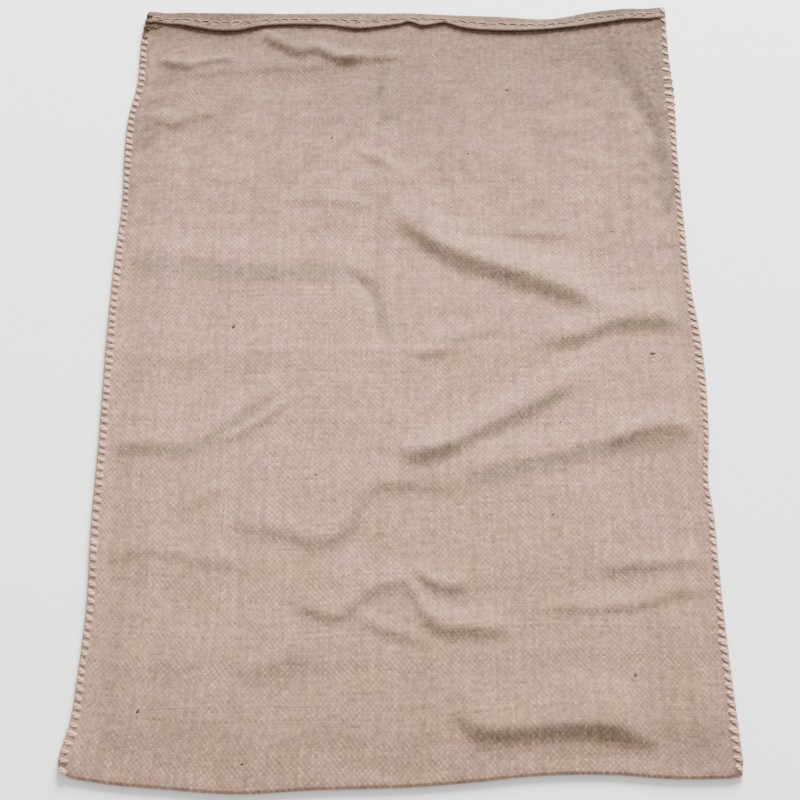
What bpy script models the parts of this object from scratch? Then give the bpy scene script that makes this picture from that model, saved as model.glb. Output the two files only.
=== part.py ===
"""A jute sack lying empty and flat, its mouth towards +Y. Metres, +Z up.

The sack is one length of hessian, folded in half at the foot (-Y). Both ends are turned
outward in a single hem at the mouth. The two sides are closed by thick twine, whipped
over the edges of both layers. The origin is the middle of the sack's underside.
"""

import math
from typing import NamedTuple

import bmesh
import bpy
import numpy as np

COLLECTION_NAME = "jute_sack"

# The cloth, and how far apart its layers lie.
CLOTH_THICKNESS = 0.0012
BODY_MID_HEIGHT = 0.0086
HEM_STEP = 0.0019
SEAM_STEP = 0.0019
FOOT_STEP = 0.0046

# The whipped side seams: the twine keeps clear of the cloth inside it.
TWINE_CLEARANCE = 0.0005
STITCH_PITCH = 0.0086
STITCH_SLANT = 0.0035
STITCH_REACH = 0.0068
RIDGE_THICKNESS = 0.0020
GROOVE_THICKNESS = 0.0009
TWINE_UNDERSIDE = 0.0002
TWINE_FLAT_THICKNESS = 0.0009
STITCH_TIP = 0.0003

# How the cloth rises from its edges.
RIM_OVERHANG = 0.00087
FLAT_EDGE = 0.009
SIDE_RISE = 0.040
FOOT_RISE = 0.045
SEAM_LIFT = TWINE_UNDERSIDE + TWINE_FLAT_THICKNESS + TWINE_CLEARANCE
SEAM_LIFT_END = 0.024
HEM_MARGIN = 0.002
HEM_LIFT_RUN = 0.018
HEM_EDGE_LIFT = 0.0004
HEM_SIDE_INSET = 0.002
FOLD_FADE = 0.016
TAPER_SHARE = 0.30
CORNER_RADIUS = 0.014

# The grid that the cloth is laid out on.
NOMINAL_WIDTH = 0.600
NOMINAL_LENGTH = 0.900
CELL_WIDTH = 0.0068
CELL_LENGTH = 0.0058
HEM_ROWS = 2
KEPT_FACES = 0.070
MERGE_DISTANCE = 1e-6
RIM_TOUCH = 1e-5

CLOTH_COLOR = (0.50, 0.40, 0.31, 1.0)
TWINE_COLOR = (0.68, 0.58, 0.46, 1.0)
CLOTH_ROUGHNESS = 0.95


class EdgePoint(NamedTuple):
    """A place on a side edge: how far up the sack, and how far across."""

    y: float
    x: float


LEFT_EDGE = (
    EdgePoint(y=-0.440, x=-0.3080),
    EdgePoint(y=-0.418, x=-0.3060),
    EdgePoint(y=-0.396, x=-0.3010),
    EdgePoint(y=-0.340, x=-0.2970),
    EdgePoint(y=-0.285, x=-0.2950),
    EdgePoint(y=-0.200, x=-0.2975),
    EdgePoint(y=-0.090, x=-0.2980),
    EdgePoint(y=0.010, x=-0.2995),
    EdgePoint(y=0.110, x=-0.2990),
    EdgePoint(y=0.190, x=-0.2965),
    EdgePoint(y=0.260, x=-0.2990),
    EdgePoint(y=0.305, x=-0.2980),
    EdgePoint(y=0.345, x=-0.2920),
    EdgePoint(y=0.420, x=-0.2910),
    EdgePoint(y=0.456, x=-0.2860),
)
RIGHT_EDGE = (
    EdgePoint(y=-0.440, x=0.3040),
    EdgePoint(y=-0.385, x=0.3030),
    EdgePoint(y=-0.320, x=0.3013),
    EdgePoint(y=-0.240, x=0.3010),
    EdgePoint(y=-0.180, x=0.3010),
    EdgePoint(y=-0.155, x=0.2995),
    EdgePoint(y=-0.100, x=0.3045),
    EdgePoint(y=-0.040, x=0.3072),
    EdgePoint(y=0.020, x=0.3062),
    EdgePoint(y=0.075, x=0.3022),
    EdgePoint(y=0.150, x=0.3020),
    EdgePoint(y=0.250, x=0.3028),
    EdgePoint(y=0.310, x=0.3048),
    EdgePoint(y=0.400, x=0.3045),
    EdgePoint(y=0.456, x=0.3052),
)


class CrossPoint(NamedTuple):
    """A place on the foot or the mouth: how far across, and how far up the sack."""

    x: float
    y: float


FOOT_EDGE = (
    CrossPoint(x=-0.305, y=-0.4405),
    CrossPoint(x=-0.265, y=-0.4475),
    CrossPoint(x=-0.215, y=-0.4525),
    CrossPoint(x=-0.150, y=-0.4575),
    CrossPoint(x=-0.080, y=-0.4545),
    CrossPoint(x=0.020, y=-0.4515),
    CrossPoint(x=0.065, y=-0.4480),
    CrossPoint(x=0.115, y=-0.4430),
    CrossPoint(x=0.185, y=-0.4420),
    CrossPoint(x=0.240, y=-0.4460),
    CrossPoint(x=0.300, y=-0.4460),
)


class HemPoint(NamedTuple):
    """A place along the mouth: the cloth's turned edge, and how deep its hem is there."""

    x: float
    mouth_y: float
    depth: float


HEM = (
    HemPoint(x=-0.300, mouth_y=0.4530, depth=0.015),
    HemPoint(x=-0.255, mouth_y=0.4500, depth=0.019),
    HemPoint(x=-0.200, mouth_y=0.4475, depth=0.026),
    HemPoint(x=-0.144, mouth_y=0.4460, depth=0.018),
    HemPoint(x=-0.077, mouth_y=0.4455, depth=0.018),
    HemPoint(x=-0.045, mouth_y=0.4455, depth=0.021),
    HemPoint(x=0.020, mouth_y=0.4450, depth=0.015),
    HemPoint(x=0.065, mouth_y=0.4415, depth=0.016),
    HemPoint(x=0.115, mouth_y=0.4385, depth=0.021),
    HemPoint(x=0.165, mouth_y=0.4350, depth=0.016),
    HemPoint(x=0.225, mouth_y=0.4460, depth=0.018),
    HemPoint(x=0.270, mouth_y=0.4510, depth=0.017),
    HemPoint(x=0.300, mouth_y=0.4535, depth=0.018),
)


class Fold(NamedTuple):
    """A rumple that runs across the sack.

    line is the middle of its steep side, in x and y. The crest lies half of near
    beyond it, and the cloth falls away again over the length far.
    """

    line: tuple
    height: float
    near: float
    far: float


FOLDS = (
    Fold(((-0.002, 0.153), (0.037, 0.118), (0.109, 0.087), (0.200, 0.045)), 0.0065, 0.018, 0.045),
    Fold(((0.140, 0.000), (0.204, 0.019), (0.235, 0.028), (0.292, 0.022)), 0.0048, 0.014, 0.035),
    Fold(((-0.002, -0.124), (0.039, -0.119), (0.103, -0.091), (0.178, -0.045)), 0.0052, 0.020, 0.038),
    Fold(((0.033, -0.156), (0.102, -0.135), (0.195, -0.114), (0.294, -0.103)), 0.0045, 0.030, 0.040),
    Fold(((-0.262, -0.116), (-0.201, -0.115), (-0.170, -0.082), (-0.118, -0.036)), 0.0036, 0.016, 0.030),
    Fold(((-0.177, -0.114), (-0.148, -0.095), (-0.108, -0.053)), 0.0028, 0.012, 0.012),
    Fold(((-0.105, -0.211), (-0.055, -0.206), (-0.030, -0.170), (0.025, -0.163)), 0.0036, 0.017, 0.035),
    Fold(((-0.092, -0.285), (-0.052, -0.291), (-0.029, -0.271), (0.010, -0.258)), 0.0040, 0.013, 0.030),
    Fold(((0.004, -0.266), (0.024, -0.288), (0.044, -0.302), (0.092, -0.308)), 0.0040, 0.016, 0.025),
    Fold(((0.012, -0.252), (0.032, -0.262), (0.058, -0.266)), 0.0020, 0.012, 0.014),
    Fold(((0.046, -0.390), (0.075, -0.404), (0.180, -0.406), (0.245, -0.424)), 0.0075, 0.018, 0.045),
    Fold(((0.162, -0.290), (0.236, -0.284), (0.278, -0.272)), 0.0026, 0.011, 0.025),
    Fold(((0.185, -0.247), (0.286, -0.238)), 0.0020, 0.014, 0.025),
    Fold(((-0.292, 0.106), (-0.197, 0.094), (-0.090, 0.089), (-0.030, 0.072)), 0.0040, 0.024, 0.040),
    Fold(((-0.302, -0.013), (-0.070, -0.009), (0.147, -0.005)), 0.0012, 0.010, 0.014),
    Fold(((-0.278, 0.342), (-0.193, 0.356), (-0.121, 0.360), (-0.032, 0.372)), 0.0036, 0.014, 0.028),
    Fold(((-0.133, 0.399), (-0.088, 0.384), (-0.060, 0.374), (-0.012, 0.376)), 0.0038, 0.013, 0.016),
    Fold(((-0.288, 0.285), (-0.214, 0.294)), 0.0032, 0.014, 0.022),
    Fold(((-0.288, -0.229), (-0.242, -0.225), (-0.205, -0.234)), 0.0018, 0.014, 0.026),
    Fold(((0.028, 0.002), (0.071, 0.008), (0.104, 0.020)), 0.0016, 0.012, 0.020),
    Fold(((0.030, 0.135), (0.176, 0.134)), 0.0012, 0.012, 0.022),
)


class Crease(NamedTuple):
    """A lengthwise rumple: as a fold, with its line in y and x and its crest towards -X."""

    line: tuple
    height: float
    near: float
    far: float


CREASES = (
    Crease(((-0.004, -0.013), (0.391, -0.012)), 0.0012, 0.010, 0.014),
    Crease(((-0.235, 0.032), (-0.107, 0.034)), 0.0012, 0.010, 0.014),
    Crease(((0.020, -0.016), (0.078, -0.024)), 0.0024, 0.014, 0.024),
    Crease(((0.180, 0.281), (0.289, 0.278), (0.330, 0.262), (0.410, 0.246)), 0.0036, 0.018, 0.030),
)


class Swell(NamedTuple):
    """A low round bulge of the upper layer."""

    x: float
    y: float
    height: float
    radius: float


SWELLS = (
    Swell(x=-0.130, y=0.215, height=0.0022, radius=0.150),
    Swell(x=0.130, y=0.250, height=0.0020, radius=0.140),
    Swell(x=0.215, y=-0.050, height=0.0018, radius=0.100),
    Swell(x=-0.120, y=0.015, height=0.0016, radius=0.110),
    Swell(x=0.170, y=-0.205, height=0.0020, radius=0.110),
    Swell(x=-0.200, y=-0.190, height=0.0014, radius=0.100),
    Swell(x=-0.170, y=-0.370, height=0.0016, radius=0.120),
    Swell(x=0.160, y=-0.350, height=0.0014, radius=0.090),
)


def smooth(value):
    """Runs from 0 to 1 as value does, level at both ends."""
    value = np.clip(value, 0.0, 1.0)
    return value * value * (3.0 - 2.0 * value)


def smooth_line(points, at):
    """The second column of points at a value of the first, with no sharp corners."""
    run = np.array([point[0] for point in points])
    level = np.array([point[1] for point in points])
    slope = np.gradient(level, run)
    at = np.clip(at, run[0], run[-1])
    place = np.clip(np.searchsorted(run, at) - 1, 0, len(run) - 2)
    step = run[place + 1] - run[place]
    part = (at - run[place]) / step
    rest = 1.0 - part
    return (
        rest * rest * (1.0 + 2.0 * part) * level[place]
        + part * part * (3.0 - 2.0 * part) * level[place + 1]
        + part * rest * rest * step * slope[place]
        - part * part * rest * step * slope[place + 1]
    )


def half_wave(distance, width):
    """1 at no distance, falling smoothly to 0 at width."""
    return 0.5 + 0.5 * np.cos(math.pi * np.clip(distance / width, 0.0, 1.0))


def rumple(fold, along, beyond):
    """Height of one fold at places along it and beyond its line."""
    start = fold.line[0][0]
    end = fold.line[-1][0]
    taper = TAPER_SHARE * (end - start)
    ends = smooth((along - start) / taper + 0.4) * smooth((end - along) / taper + 0.4)
    crest = beyond - 0.5 * fold.near
    shape = np.where(crest > 0.0, half_wave(crest, fold.far), half_wave(-crest, fold.near))
    return fold.height * ends * shape


def rumples(x, y):
    """Height that all the swells, folds and creases add to the upper layer."""
    total = np.zeros_like(x)
    for swell in SWELLS:
        total += swell.height * half_wave(np.hypot(x - swell.x, y - swell.y), swell.radius)
    for fold in FOLDS:
        total += rumple(fold, x, y - smooth_line(fold.line, x))
    for crease in CREASES:
        total += rumple(crease, y, smooth_line(crease.line, y) - x)
    return total


def rim(y):
    """Where the side folds of the cloth run, left and right, inside the twine."""
    inside = TWINE_CLEARANCE + RIDGE_THICKNESS + RIM_OVERHANG
    return smooth_line(LEFT_EDGE, y) + inside, smooth_line(RIGHT_EDGE, y) - inside


def mouth_line(x):
    """Where the cloth turns at the mouth."""
    return smooth_line([(point.x, point.mouth_y) for point in HEM], x) - RIM_OVERHANG


def hem_depth(x):
    return smooth_line([(point.x, point.depth) for point in HEM], x)


class Place(NamedTuple):
    """Places on the sack seen from above, with how far each is from the edges."""

    x: np.ndarray
    y: np.ndarray
    from_side: np.ndarray
    from_foot: np.ndarray
    from_mouth: np.ndarray


def place_at(x, y):
    """The place at x and y, measured from the folds at the sides, the foot and the mouth."""
    left, right = rim(y)
    foot = smooth_line(FOOT_EDGE, x) + RIM_OVERHANG
    turn = mouth_line(x) - 0.5 * HEM_STEP
    return Place(x, y, np.minimum(x - left, right - x), y - foot, turn - y)


def place_on_cloth(across, up):
    """The place at shares of the width and of the length, before its corners are rounded."""
    x = (across - 0.5) * NOMINAL_WIDTH
    for _ in range(3):
        foot = smooth_line(FOOT_EDGE, x) + RIM_OVERHANG
        turn = mouth_line(x) - 0.5 * HEM_STEP
        y = foot + up * (turn - foot)
        left, right = rim(y)
        x = left + across * (right - left)
    return place_at(x, y)


def round_corners(place):
    """Draws the square corners of the foot in to quarter circles."""
    side_share = np.clip(1.0 - place.from_side / CORNER_RADIUS, 0.0, 1.0)
    foot_share = np.clip(1.0 - place.from_foot / CORNER_RADIUS, 0.0, 1.0)
    inward = side_share * (1.0 - np.sqrt(1.0 - 0.5 * foot_share**2)) * CORNER_RADIUS
    upward = foot_share * (1.0 - np.sqrt(1.0 - 0.5 * side_share**2)) * CORNER_RADIUS
    return place.x - np.sign(place.x) * inward, place.y + upward


def lower_height(place):
    """Middle of the lower layer, which the seams' twine and the hem under it hold up."""
    seam = 1.0 - smooth((place.from_side - FLAT_EDGE) / (SEAM_LIFT_END - FLAT_EDGE))
    seam = seam * smooth(place.from_foot / CORNER_RADIUS)
    hem = 1.0 - smooth((place.from_mouth - hem_depth(place.x) - HEM_MARGIN) / HEM_LIFT_RUN)
    return 0.5 * CLOTH_THICKNESS + SEAM_LIFT * seam + HEM_STEP * hem


def upper_height(place):
    """Middle of the upper layer, from its edges up to the body and its folds."""
    at_foot = 1.0 - smooth(place.from_foot / FOOT_RISE)
    edge = lower_height(place) + SEAM_STEP + (FOOT_STEP - SEAM_STEP) * at_foot
    rise = smooth((place.from_side - FLAT_EDGE) / SIDE_RISE) * smooth(place.from_foot / FOOT_RISE)
    fade = smooth((place.from_side - FLAT_EDGE) / FOLD_FADE) * smooth(place.from_foot / FOLD_FADE)
    return edge + (BODY_MID_HEIGHT - edge) * rise + rumples(place.x, place.y) * fade


def cloth_points(across, station, layer):
    """Places in space on the sack's cloth.

    across is a share of the width. station runs from 0 at the foot's fold to 1 where the
    mouth turns, 2 where the hem has turned and 3 at the hem's free edge. layer is 1 on
    the upper layer and -1 on the lower one.
    """
    place = place_on_cloth(across, np.minimum(station, 1.0))
    turned = 0.5 - 0.5 * np.cos(math.pi * np.clip(station - 1.0, 0.0, 1.0))
    flap = np.clip(station - 2.0, 0.0, 1.0)
    run = flap * hem_depth(place.x)
    place = place._replace(
        y=place.y - run,
        from_foot=place.from_foot - run,
        from_mouth=place.from_mouth + run,
    )
    lower = lower_height(place)
    upper = upper_height(place)
    at_rim = np.minimum(place.from_side, place.from_foot) < RIM_TOUCH
    own = np.where(layer > 0.0, upper, lower)
    z = np.where(at_rim, 0.5 * (lower + upper), own)
    z = z + layer * (HEM_STEP * turned + HEM_EDGE_LIFT * flap * (layer > 0.0))
    x, y = round_corners(place)
    y = y + HEM_STEP * np.sqrt(turned * (1.0 - turned))
    return np.stack([x, y, z], axis=-1)


def layer_stations():
    """Stations of one layer's rows, from the foot's fold to the hem's free edge."""
    first = 0.5 * FOOT_STEP / NOMINAL_LENGTH
    body = np.linspace(first, 1.0, round(NOMINAL_LENGTH / CELL_LENGTH))
    hem = np.linspace(2.0, 3.0, HEM_ROWS)
    return np.concatenate([[0.0], body, [1.5], hem])


def column_shares():
    """Shares of the width of the cloth's columns, from one side's fold to the other's."""
    first = 0.5 * SEAM_STEP / NOMINAL_WIDTH
    body = np.linspace(first, 1.0 - first, round(NOMINAL_WIDTH / CELL_WIDTH))
    return np.concatenate([[0.0], body, [1.0]])


def new_object(name, mesh, material):
    """Puts a mesh into the sack's collection as an object of its own."""
    mesh.materials.append(material)
    mesh.shade_smooth()
    obj = bpy.data.objects.new(name, mesh)
    bpy.data.collections[COLLECTION_NAME].objects.link(obj)
    return obj


def make_material(name, color):
    material = bpy.data.materials.new(name)
    material.use_nodes = True
    shader = material.node_tree.nodes["Principled BSDF"]
    shader.inputs["Base Color"].default_value = color
    shader.inputs["Roughness"].default_value = CLOTH_ROUGHNESS
    shader.inputs["Metallic"].default_value = 0.0
    return material


def make_cloth(material):
    """The sack's cloth: one strip folded at the foot, joined at its sides and thickened."""
    stations = layer_stations()
    shares = column_shares()
    last_row = len(stations) - 1
    last_column = len(shares) - 1
    bm = bmesh.new()
    bmesh.ops.create_grid(bm, x_segments=last_column, y_segments=2 * last_row, size=0.5)
    flat = np.array([vertex.co for vertex in bm.verts])
    column = np.rint((flat[:, 0] + 0.5) * last_column).astype(int)
    row = np.rint((flat[:, 1] + 0.5) * 2 * last_row).astype(int) - last_row
    station = stations[np.abs(row)]
    across = shares[column]
    inset = HEM_SIDE_INSET / NOMINAL_WIDTH
    across = np.where(station > 1.0, np.clip(across, inset, 1.0 - inset), across)
    points = cloth_points(across, station, np.where(row >= 0, 1.0, -1.0))
    for vertex, point in zip(bm.verts, points):
        vertex.co = point

    outer_columns = {0, last_column}
    body_end = int(np.count_nonzero(stations <= 1.0)) - 1
    hem_sides = [
        vertex
        for vertex, at_column, at_row in zip(bm.verts, column, row)
        if at_column in outer_columns and abs(at_row) > body_end
    ]
    bmesh.ops.delete(bm, geom=hem_sides, context="VERTS")
    bmesh.ops.remove_doubles(bm, verts=bm.verts, dist=MERGE_DISTANCE)
    bmesh.ops.recalc_face_normals(bm, faces=bm.faces)
    mesh = bpy.data.meshes.new("sack_cloth")
    bm.to_mesh(mesh)
    bm.free()

    cloth = new_object("sack_cloth", mesh, material)
    thin_out = cloth.modifiers.new("Fewer faces where the cloth is flat", "DECIMATE")
    thin_out.ratio = KEPT_FACES
    thickness = cloth.modifiers.new("Cloth thickness", "SOLIDIFY")
    thickness.thickness = CLOTH_THICKNESS
    thickness.offset = 0.0
    thickness.use_even_offset = True
    return cloth


def seam_section(high, twine):
    """Section of the twine round the cloth's edge: how far in from the cloth's fold, how
    high, and the point's share of the stitches' slant. high is the cloth's upper side."""
    wall = -RIM_OVERHANG - TWINE_CLEARANCE
    return (
        (STITCH_REACH, high + STITCH_TIP, 0.5),
        (0.45 * STITCH_REACH, high + twine, 0.2),
        (wall - 0.6 * twine, high + 0.3 * twine, -0.3),
        (wall - twine, TWINE_UNDERSIDE, -0.5),
        (STITCH_REACH, TWINE_UNDERSIDE, 0.0),
        (wall, TWINE_UNDERSIDE + TWINE_FLAT_THICKNESS, 0.0),
        (wall, high, 0.0),
    )


def make_seam(name, side, material):
    """The twine whipped over one side, 1 for the right and -1 for the left, its stitches
    raised as slanted ridges."""
    edge_x = 0.5 * side * NOMINAL_WIDTH
    start = smooth_line(FOOT_EDGE, edge_x) + CORNER_RADIUS
    end = mouth_line(edge_x)
    stitches = round((end - start) / STITCH_PITCH)
    ring_y = np.linspace(start, end, 2 * stitches + 1)
    fold_x = rim(ring_y)[0 if side < 0 else 1]
    place = place_at(fold_x, ring_y)
    past_hem = (place.from_mouth - hem_depth(place.x) - HEM_MARGIN) / HEM_LIFT_RUN
    hem_on_top = (HEM_STEP + HEM_EDGE_LIFT) * (1.0 - smooth(past_hem))
    high = upper_height(place) + 0.5 * CLOTH_THICKNESS + hem_on_top + TWINE_CLEARANCE

    bm = bmesh.new()
    rings = []
    for index, y in enumerate(ring_y):
        twine = RIDGE_THICKNESS if index % 2 else GROOVE_THICKNESS
        slant = STITCH_SLANT * side if 0 < index < len(ring_y) - 1 else 0.0
        ring = [
            bm.verts.new((fold_x[index] - side * inset, y + slant * share, z))
            for inset, z, share in seam_section(high[index], twine)
        ]
        rings.append(ring)
    for ring, following in zip(rings, rings[1:]):
        for corner, vertex in enumerate(ring):
            before = corner - 1
            bm.faces.new((ring[before], vertex, following[corner], following[before]))
    bm.faces.new(rings[0])
    bm.faces.new(rings[-1])
    bmesh.ops.recalc_face_normals(bm, faces=bm.faces)
    mesh = bpy.data.meshes.new(name)
    bm.to_mesh(mesh)
    bm.free()
    return new_object(name, mesh, material)


def main():
    for obj in list(bpy.data.objects):
        bpy.data.objects.remove(obj, do_unlink=True)
    collection = bpy.data.collections.new(COLLECTION_NAME)
    bpy.context.scene.collection.children.link(collection)
    make_cloth(make_material("Hessian", CLOTH_COLOR))
    twine = make_material("Jute twine", TWINE_COLOR)
    make_seam("side_seam_left", -1.0, twine)
    make_seam("side_seam_right", 1.0, twine)


main()
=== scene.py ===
"""A jute sack lying empty and flat, made as a Blender add-on.

It builds the sack's hessian cloth, its sewing, the fibres and flecks on it and the stage
that it is shown on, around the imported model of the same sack. Metres, +Z up, the sack's
mouth towards +Y.
"""

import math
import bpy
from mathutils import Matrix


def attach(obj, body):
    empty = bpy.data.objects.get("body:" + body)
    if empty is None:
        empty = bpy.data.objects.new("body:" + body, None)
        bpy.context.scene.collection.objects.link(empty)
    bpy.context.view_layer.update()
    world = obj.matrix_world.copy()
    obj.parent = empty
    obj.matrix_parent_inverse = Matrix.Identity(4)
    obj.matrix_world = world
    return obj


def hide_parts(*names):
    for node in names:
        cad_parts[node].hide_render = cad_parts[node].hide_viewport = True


bl_info = {
    "name": "Jute sack",
    "version": (1, 0, 0),
    "blender": (4, 5, 0),
    "location": "3D View > Sidebar > Jute sack",
    "description": "An empty hessian sack with a turned hem and whipped side seams",
    "category": "Add Mesh",
}

from typing import NamedTuple

import bmesh
import bpy
import numpy as np
from mathutils import Matrix, Vector

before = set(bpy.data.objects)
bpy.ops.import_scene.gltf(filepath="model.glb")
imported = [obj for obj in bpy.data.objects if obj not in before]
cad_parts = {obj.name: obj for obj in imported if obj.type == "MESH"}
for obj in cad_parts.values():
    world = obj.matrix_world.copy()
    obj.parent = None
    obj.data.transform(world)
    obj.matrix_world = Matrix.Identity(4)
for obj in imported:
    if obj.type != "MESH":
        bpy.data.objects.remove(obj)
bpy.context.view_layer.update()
BODY = "root"

# How the two layers of cloth lie, the same as in the solids: the heights of their middles,
# the steps between them, and how far in from an edge each change runs.
BODY_MID_HEIGHT = 0.0086
LOWER_MID_HEIGHT = 0.0006
HALF_CLOTH = 0.00055
SEAM_STEP = 0.0019
FOOT_STEP = 0.0046
HEM_STEP = 0.0019
FLAT_EDGE = 0.009
SIDE_RISE = 0.040
FOOT_RISE = 0.070
SEAM_LIFT = 0.0016
SEAM_LIFT_END = 0.024
HEM_MARGIN = 0.002
HEM_LIFT_RUN = 0.018
HEM_LIFT_START = 0.35
BACK_HEM_LIFT = 0.0006
HEM_SIDE_INSET = 0.002
CORNER_RADIUS = 0.014
EDGE_INSET = 0.0007
FOOT_INSET = 0.0009

# The flat cloth, with what its foot's turn and its hem add to each layer.
NOMINAL_WIDTH = 0.600
NOMINAL_LENGTH = 0.900
NOMINAL_HEM = 0.018

# The grid that the cloth is laid out on, finer on the layer that shows.
COLUMNS = 152
UPPER_ROWS = 232
LOWER_ROWS = 42
TURN_ROWS = 4
HEM_ROWS = 7
FOOT_TURN_ROWS = 4

# Folds: where their crest lies as a share of near, how much of their steep side is keen, over
# what share of their length they end, how much height and painted shade reaches the very end,
# and how far in from the cloth's edge they reach their full height.
CREST_PLACE = 0.35
KEEN_SHARE = 0.55
TAPER_SHARE = 0.30
END_HEIGHT = 0.4
END_SHADE = 0.2
FOLD_FADE = 0.016

# Darkening from 0 to 1, of grime and of painted shade: the grime that lies everywhere, the
# painted shade that a fold of the height given holds in its steep side and over what share of
# near, the painted shadow under the hem's edge where the hem stands off the cloth, and how the
# hem's own grime and painted shade lessen from its turn to its edge.
USUAL_SOIL = 0.06
FOLD_SHADE_DEPTH = 0.19
SHADED_HEIGHT = 0.0075
SHADED_SHARE = 0.6
MOST_DARKENED = 0.75
# Painted shadow under the hem's free edge: how dark, where and how wide.
UNDER_HEM_SHADOW = 0.54
UNDER_HEM_PLACE = 0.0015
UNDER_HEM_REACH = 0.0055
SHADING_LIFT = 0.001
TURN_DARKENING = 1.25
FLAP_DARKENING_DROP = 0.3
BELOW_HEM = 0.013

# How the rims of the patches waver.
RIM_UNEVENNESS = 0.35
RIM_SIZE = (0.011, 0.009)
RIM_SEED = 31

# What the meshes carry for their materials and for the trees that place pieces.
YARN_MAP = "Yarns"
DARKENING = "soil"
FOLD_SHADING = "wear"
TINT = "tint"
STAIN = "stain"
HEADING = "heading"
SIZE = "size"
STACK = "stack"
RISE = "rise"
REACH = "reach"

# The hessian's yarns: how they sway (bumps a metre and reach) and lean, how their width is
# drawn, from yarn to yarn and along one, and how the weft differs from the warp. A noise is
# its bumps a metre, its detail and its roughness, and a range goes from its first two
# numbers to its last two.
YARN_SWAYS = ((9.0, 0.012), (210.0, 0.0019))
YARN_SLANT = 0.28
YARN_NOISE = (1.0, 2.0, 0.6)
YARN_WIDTHS = (0.25, 0.75, 0.34, 0.60)
YARN_TO_WARP_YARN = 5.31
YARN_TO_WEFT_YARN = 4.37
ALONG_WARP_YARN = 0.16
ALONG_WEFT_YARN = 0.14
WARP_SEED = 3.0
WEFT_SEED = 7.0
WEFT_PLANE = 9.0
UNDER_HEIGHT = 0.15
WEFT_HEIGHT = 0.66
# Painted light and shade: where a warp yarn lies over it is painted lighter, and where a weft yarn does,
# darker, as the light falls on them.
WARP_PAINTED_LIGHT = 1.045
WEFT_PAINTED_SHADE = 0.93
GAP_RANGE = (0.00, 0.45, 0.0, 1.0)

YARN_SHADE = 0.28
THICK_SHADE = 0.50
CELL_SHADE = 0.15
PAIR_SHADE = 0.03
# Painted light: the crossings' crowns lighter where the warp is over, and a leaning painted highlight of the
# yarns' twist.
CHECK_PAINTED_LIGHT = 0.098
LEAN_PAINTED_HIGHLIGHT = 0.105
LEAN_NOISE = (34.0, 1.0)
LEAN_RANGE = (0.36, 0.64, 0.7 * LEAN_PAINTED_HIGHLIGHT, -LEAN_PAINTED_HIGHLIGHT)

# The yellower patches, the patches in the grime and painted shade, and the greyer tint of the painted shade
# in folds.
YELLOW_NOISE = (26.0, 2.0, 0.5)
YELLOW_RANGE = (0.38, 0.64, 0.0, 1.0)
DARKENING_NOISE = (170.0, 3.0, 0.65)
DARKENING_RANGE = (0.3, 0.7, 0.7, 1.3)
SHADE_TINT = (0.895, 1.020, 1.025)
SHADE_TINT_RANGE = (0.005, 0.10, 0.0, 1.0)

# How the surfaces stand out, as a strength and a distance, and how they shine.
BUMP_STRENGTH = 0.30
TUFT_BUMP = 0.35
FUZZ_BUMP = 0.25
TWINE_BUMP = (0.8, 0.0005)
SCRAP_BUMP = (0.5, 0.0001)
CLOTH_FINISH = {
    "Roughness": 0.92,
    "Specular IOR Level": 0.15,
    "Sheen Weight": 0.08,
    "Sheen Roughness": 0.55,
    "Sheen Tint": (1.0, 0.92, 0.86, 1.0),
}
TWINE_FINISH = {"Roughness": 0.85, "Specular IOR Level": 0.2, "Sheen Weight": 0.08, "Sheen Roughness": 0.5}
SCRAP_FINISH = {"Roughness": 0.8}
FLOOR_FINISH = {"Roughness": 0.9, "Specular IOR Level": 0.1}

# The twine's plies: turns for each metre along it and for each round, as its UV map runs.
# Each light is how much it differs, and what there is at least.
PLY_TURNS = 260.0
PLY_COUNT = 3.0
# Painted shade: the grooves between the plies darker than their crowns.
PLY_LIGHT = (0.35, 0.72)
TWINE_NOISE = (1500.0, 3.0, 0.6)
TWINE_NOISE_LIGHT = (0.5, 0.75)
TWINE_TINT_LIGHT = (0.35, 0.82)
TWINE_NOISE_BUMP = 0.4

# The darkest and the palest colour of each kind of scrap, and how it differs between them.
SLUB_COLORS = ((0.29, 0.20, 0.155), (0.37, 0.275, 0.215))
BARK_COLORS = ((0.030, 0.017, 0.010), (0.120, 0.075, 0.045))
FIBRE_COLORS = ((0.34, 0.25, 0.19), (0.58, 0.47, 0.38))
SCRAP_NOISE = (900.0, 2.0)
SCRAP_GRAIN = (4000.0, 2.0)
TINT_SHARE = 0.6

# The whipped side seams. A stitch is made for cloth whose top is at USUAL_TOP.
TWINE_SIDES = 6
USUAL_TOP = 0.00465
WHIP_LENGTH = 0.0066
WHIP_TURN = 0.9
WHIP_SMALLER = (0.8, 1.2)
WHIP_LARGER = (0.5, 0.8)
SIDE_STOP = 0.002
PLACE_UNEVENNESS = 0.12
ON_HEM_START = 0.004
ON_HEM_RUN = 0.010
ON_HEM_STEPS = 1.1
RUST_START = 0.412
RUST_RUN = 0.010
LOOSE_WIDE_WAY = (0.3, 1.0, 0.2)
LOOSE_FLATNESS = 0.8
LOOSE_TINT = 0.5

# The hem's chain stitch, and the shape of one of its links.
CHAIN_ENDS = (-0.274, 0.290)
CHAIN_SHARE = 0.60
DEEPEST_SHARE = 0.72
CHAIN_SCATTER = 0.0008
CHAIN_SCATTER_SEED = 30
CHAIN_SIZE_SEED = 20
CHAIN_EVENS_OUT = (-0.024, -0.012, 0.0, 0.012, 0.024)
LINK_RINGS = 12
LINK_OVERLAP = 0.0022
LINK_WIDEST = 0.72
LINK_NARROWS = 0.28
LINK_LOW = 0.15
LINK_RISE = 0.5
LINK_RISE_RUN = 0.7
LINK_SPLAY = 1.6
FRONT_CHAIN_FLATNESS = 0.42
BACK_CHAIN_THICKNESS = 0.0009

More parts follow.
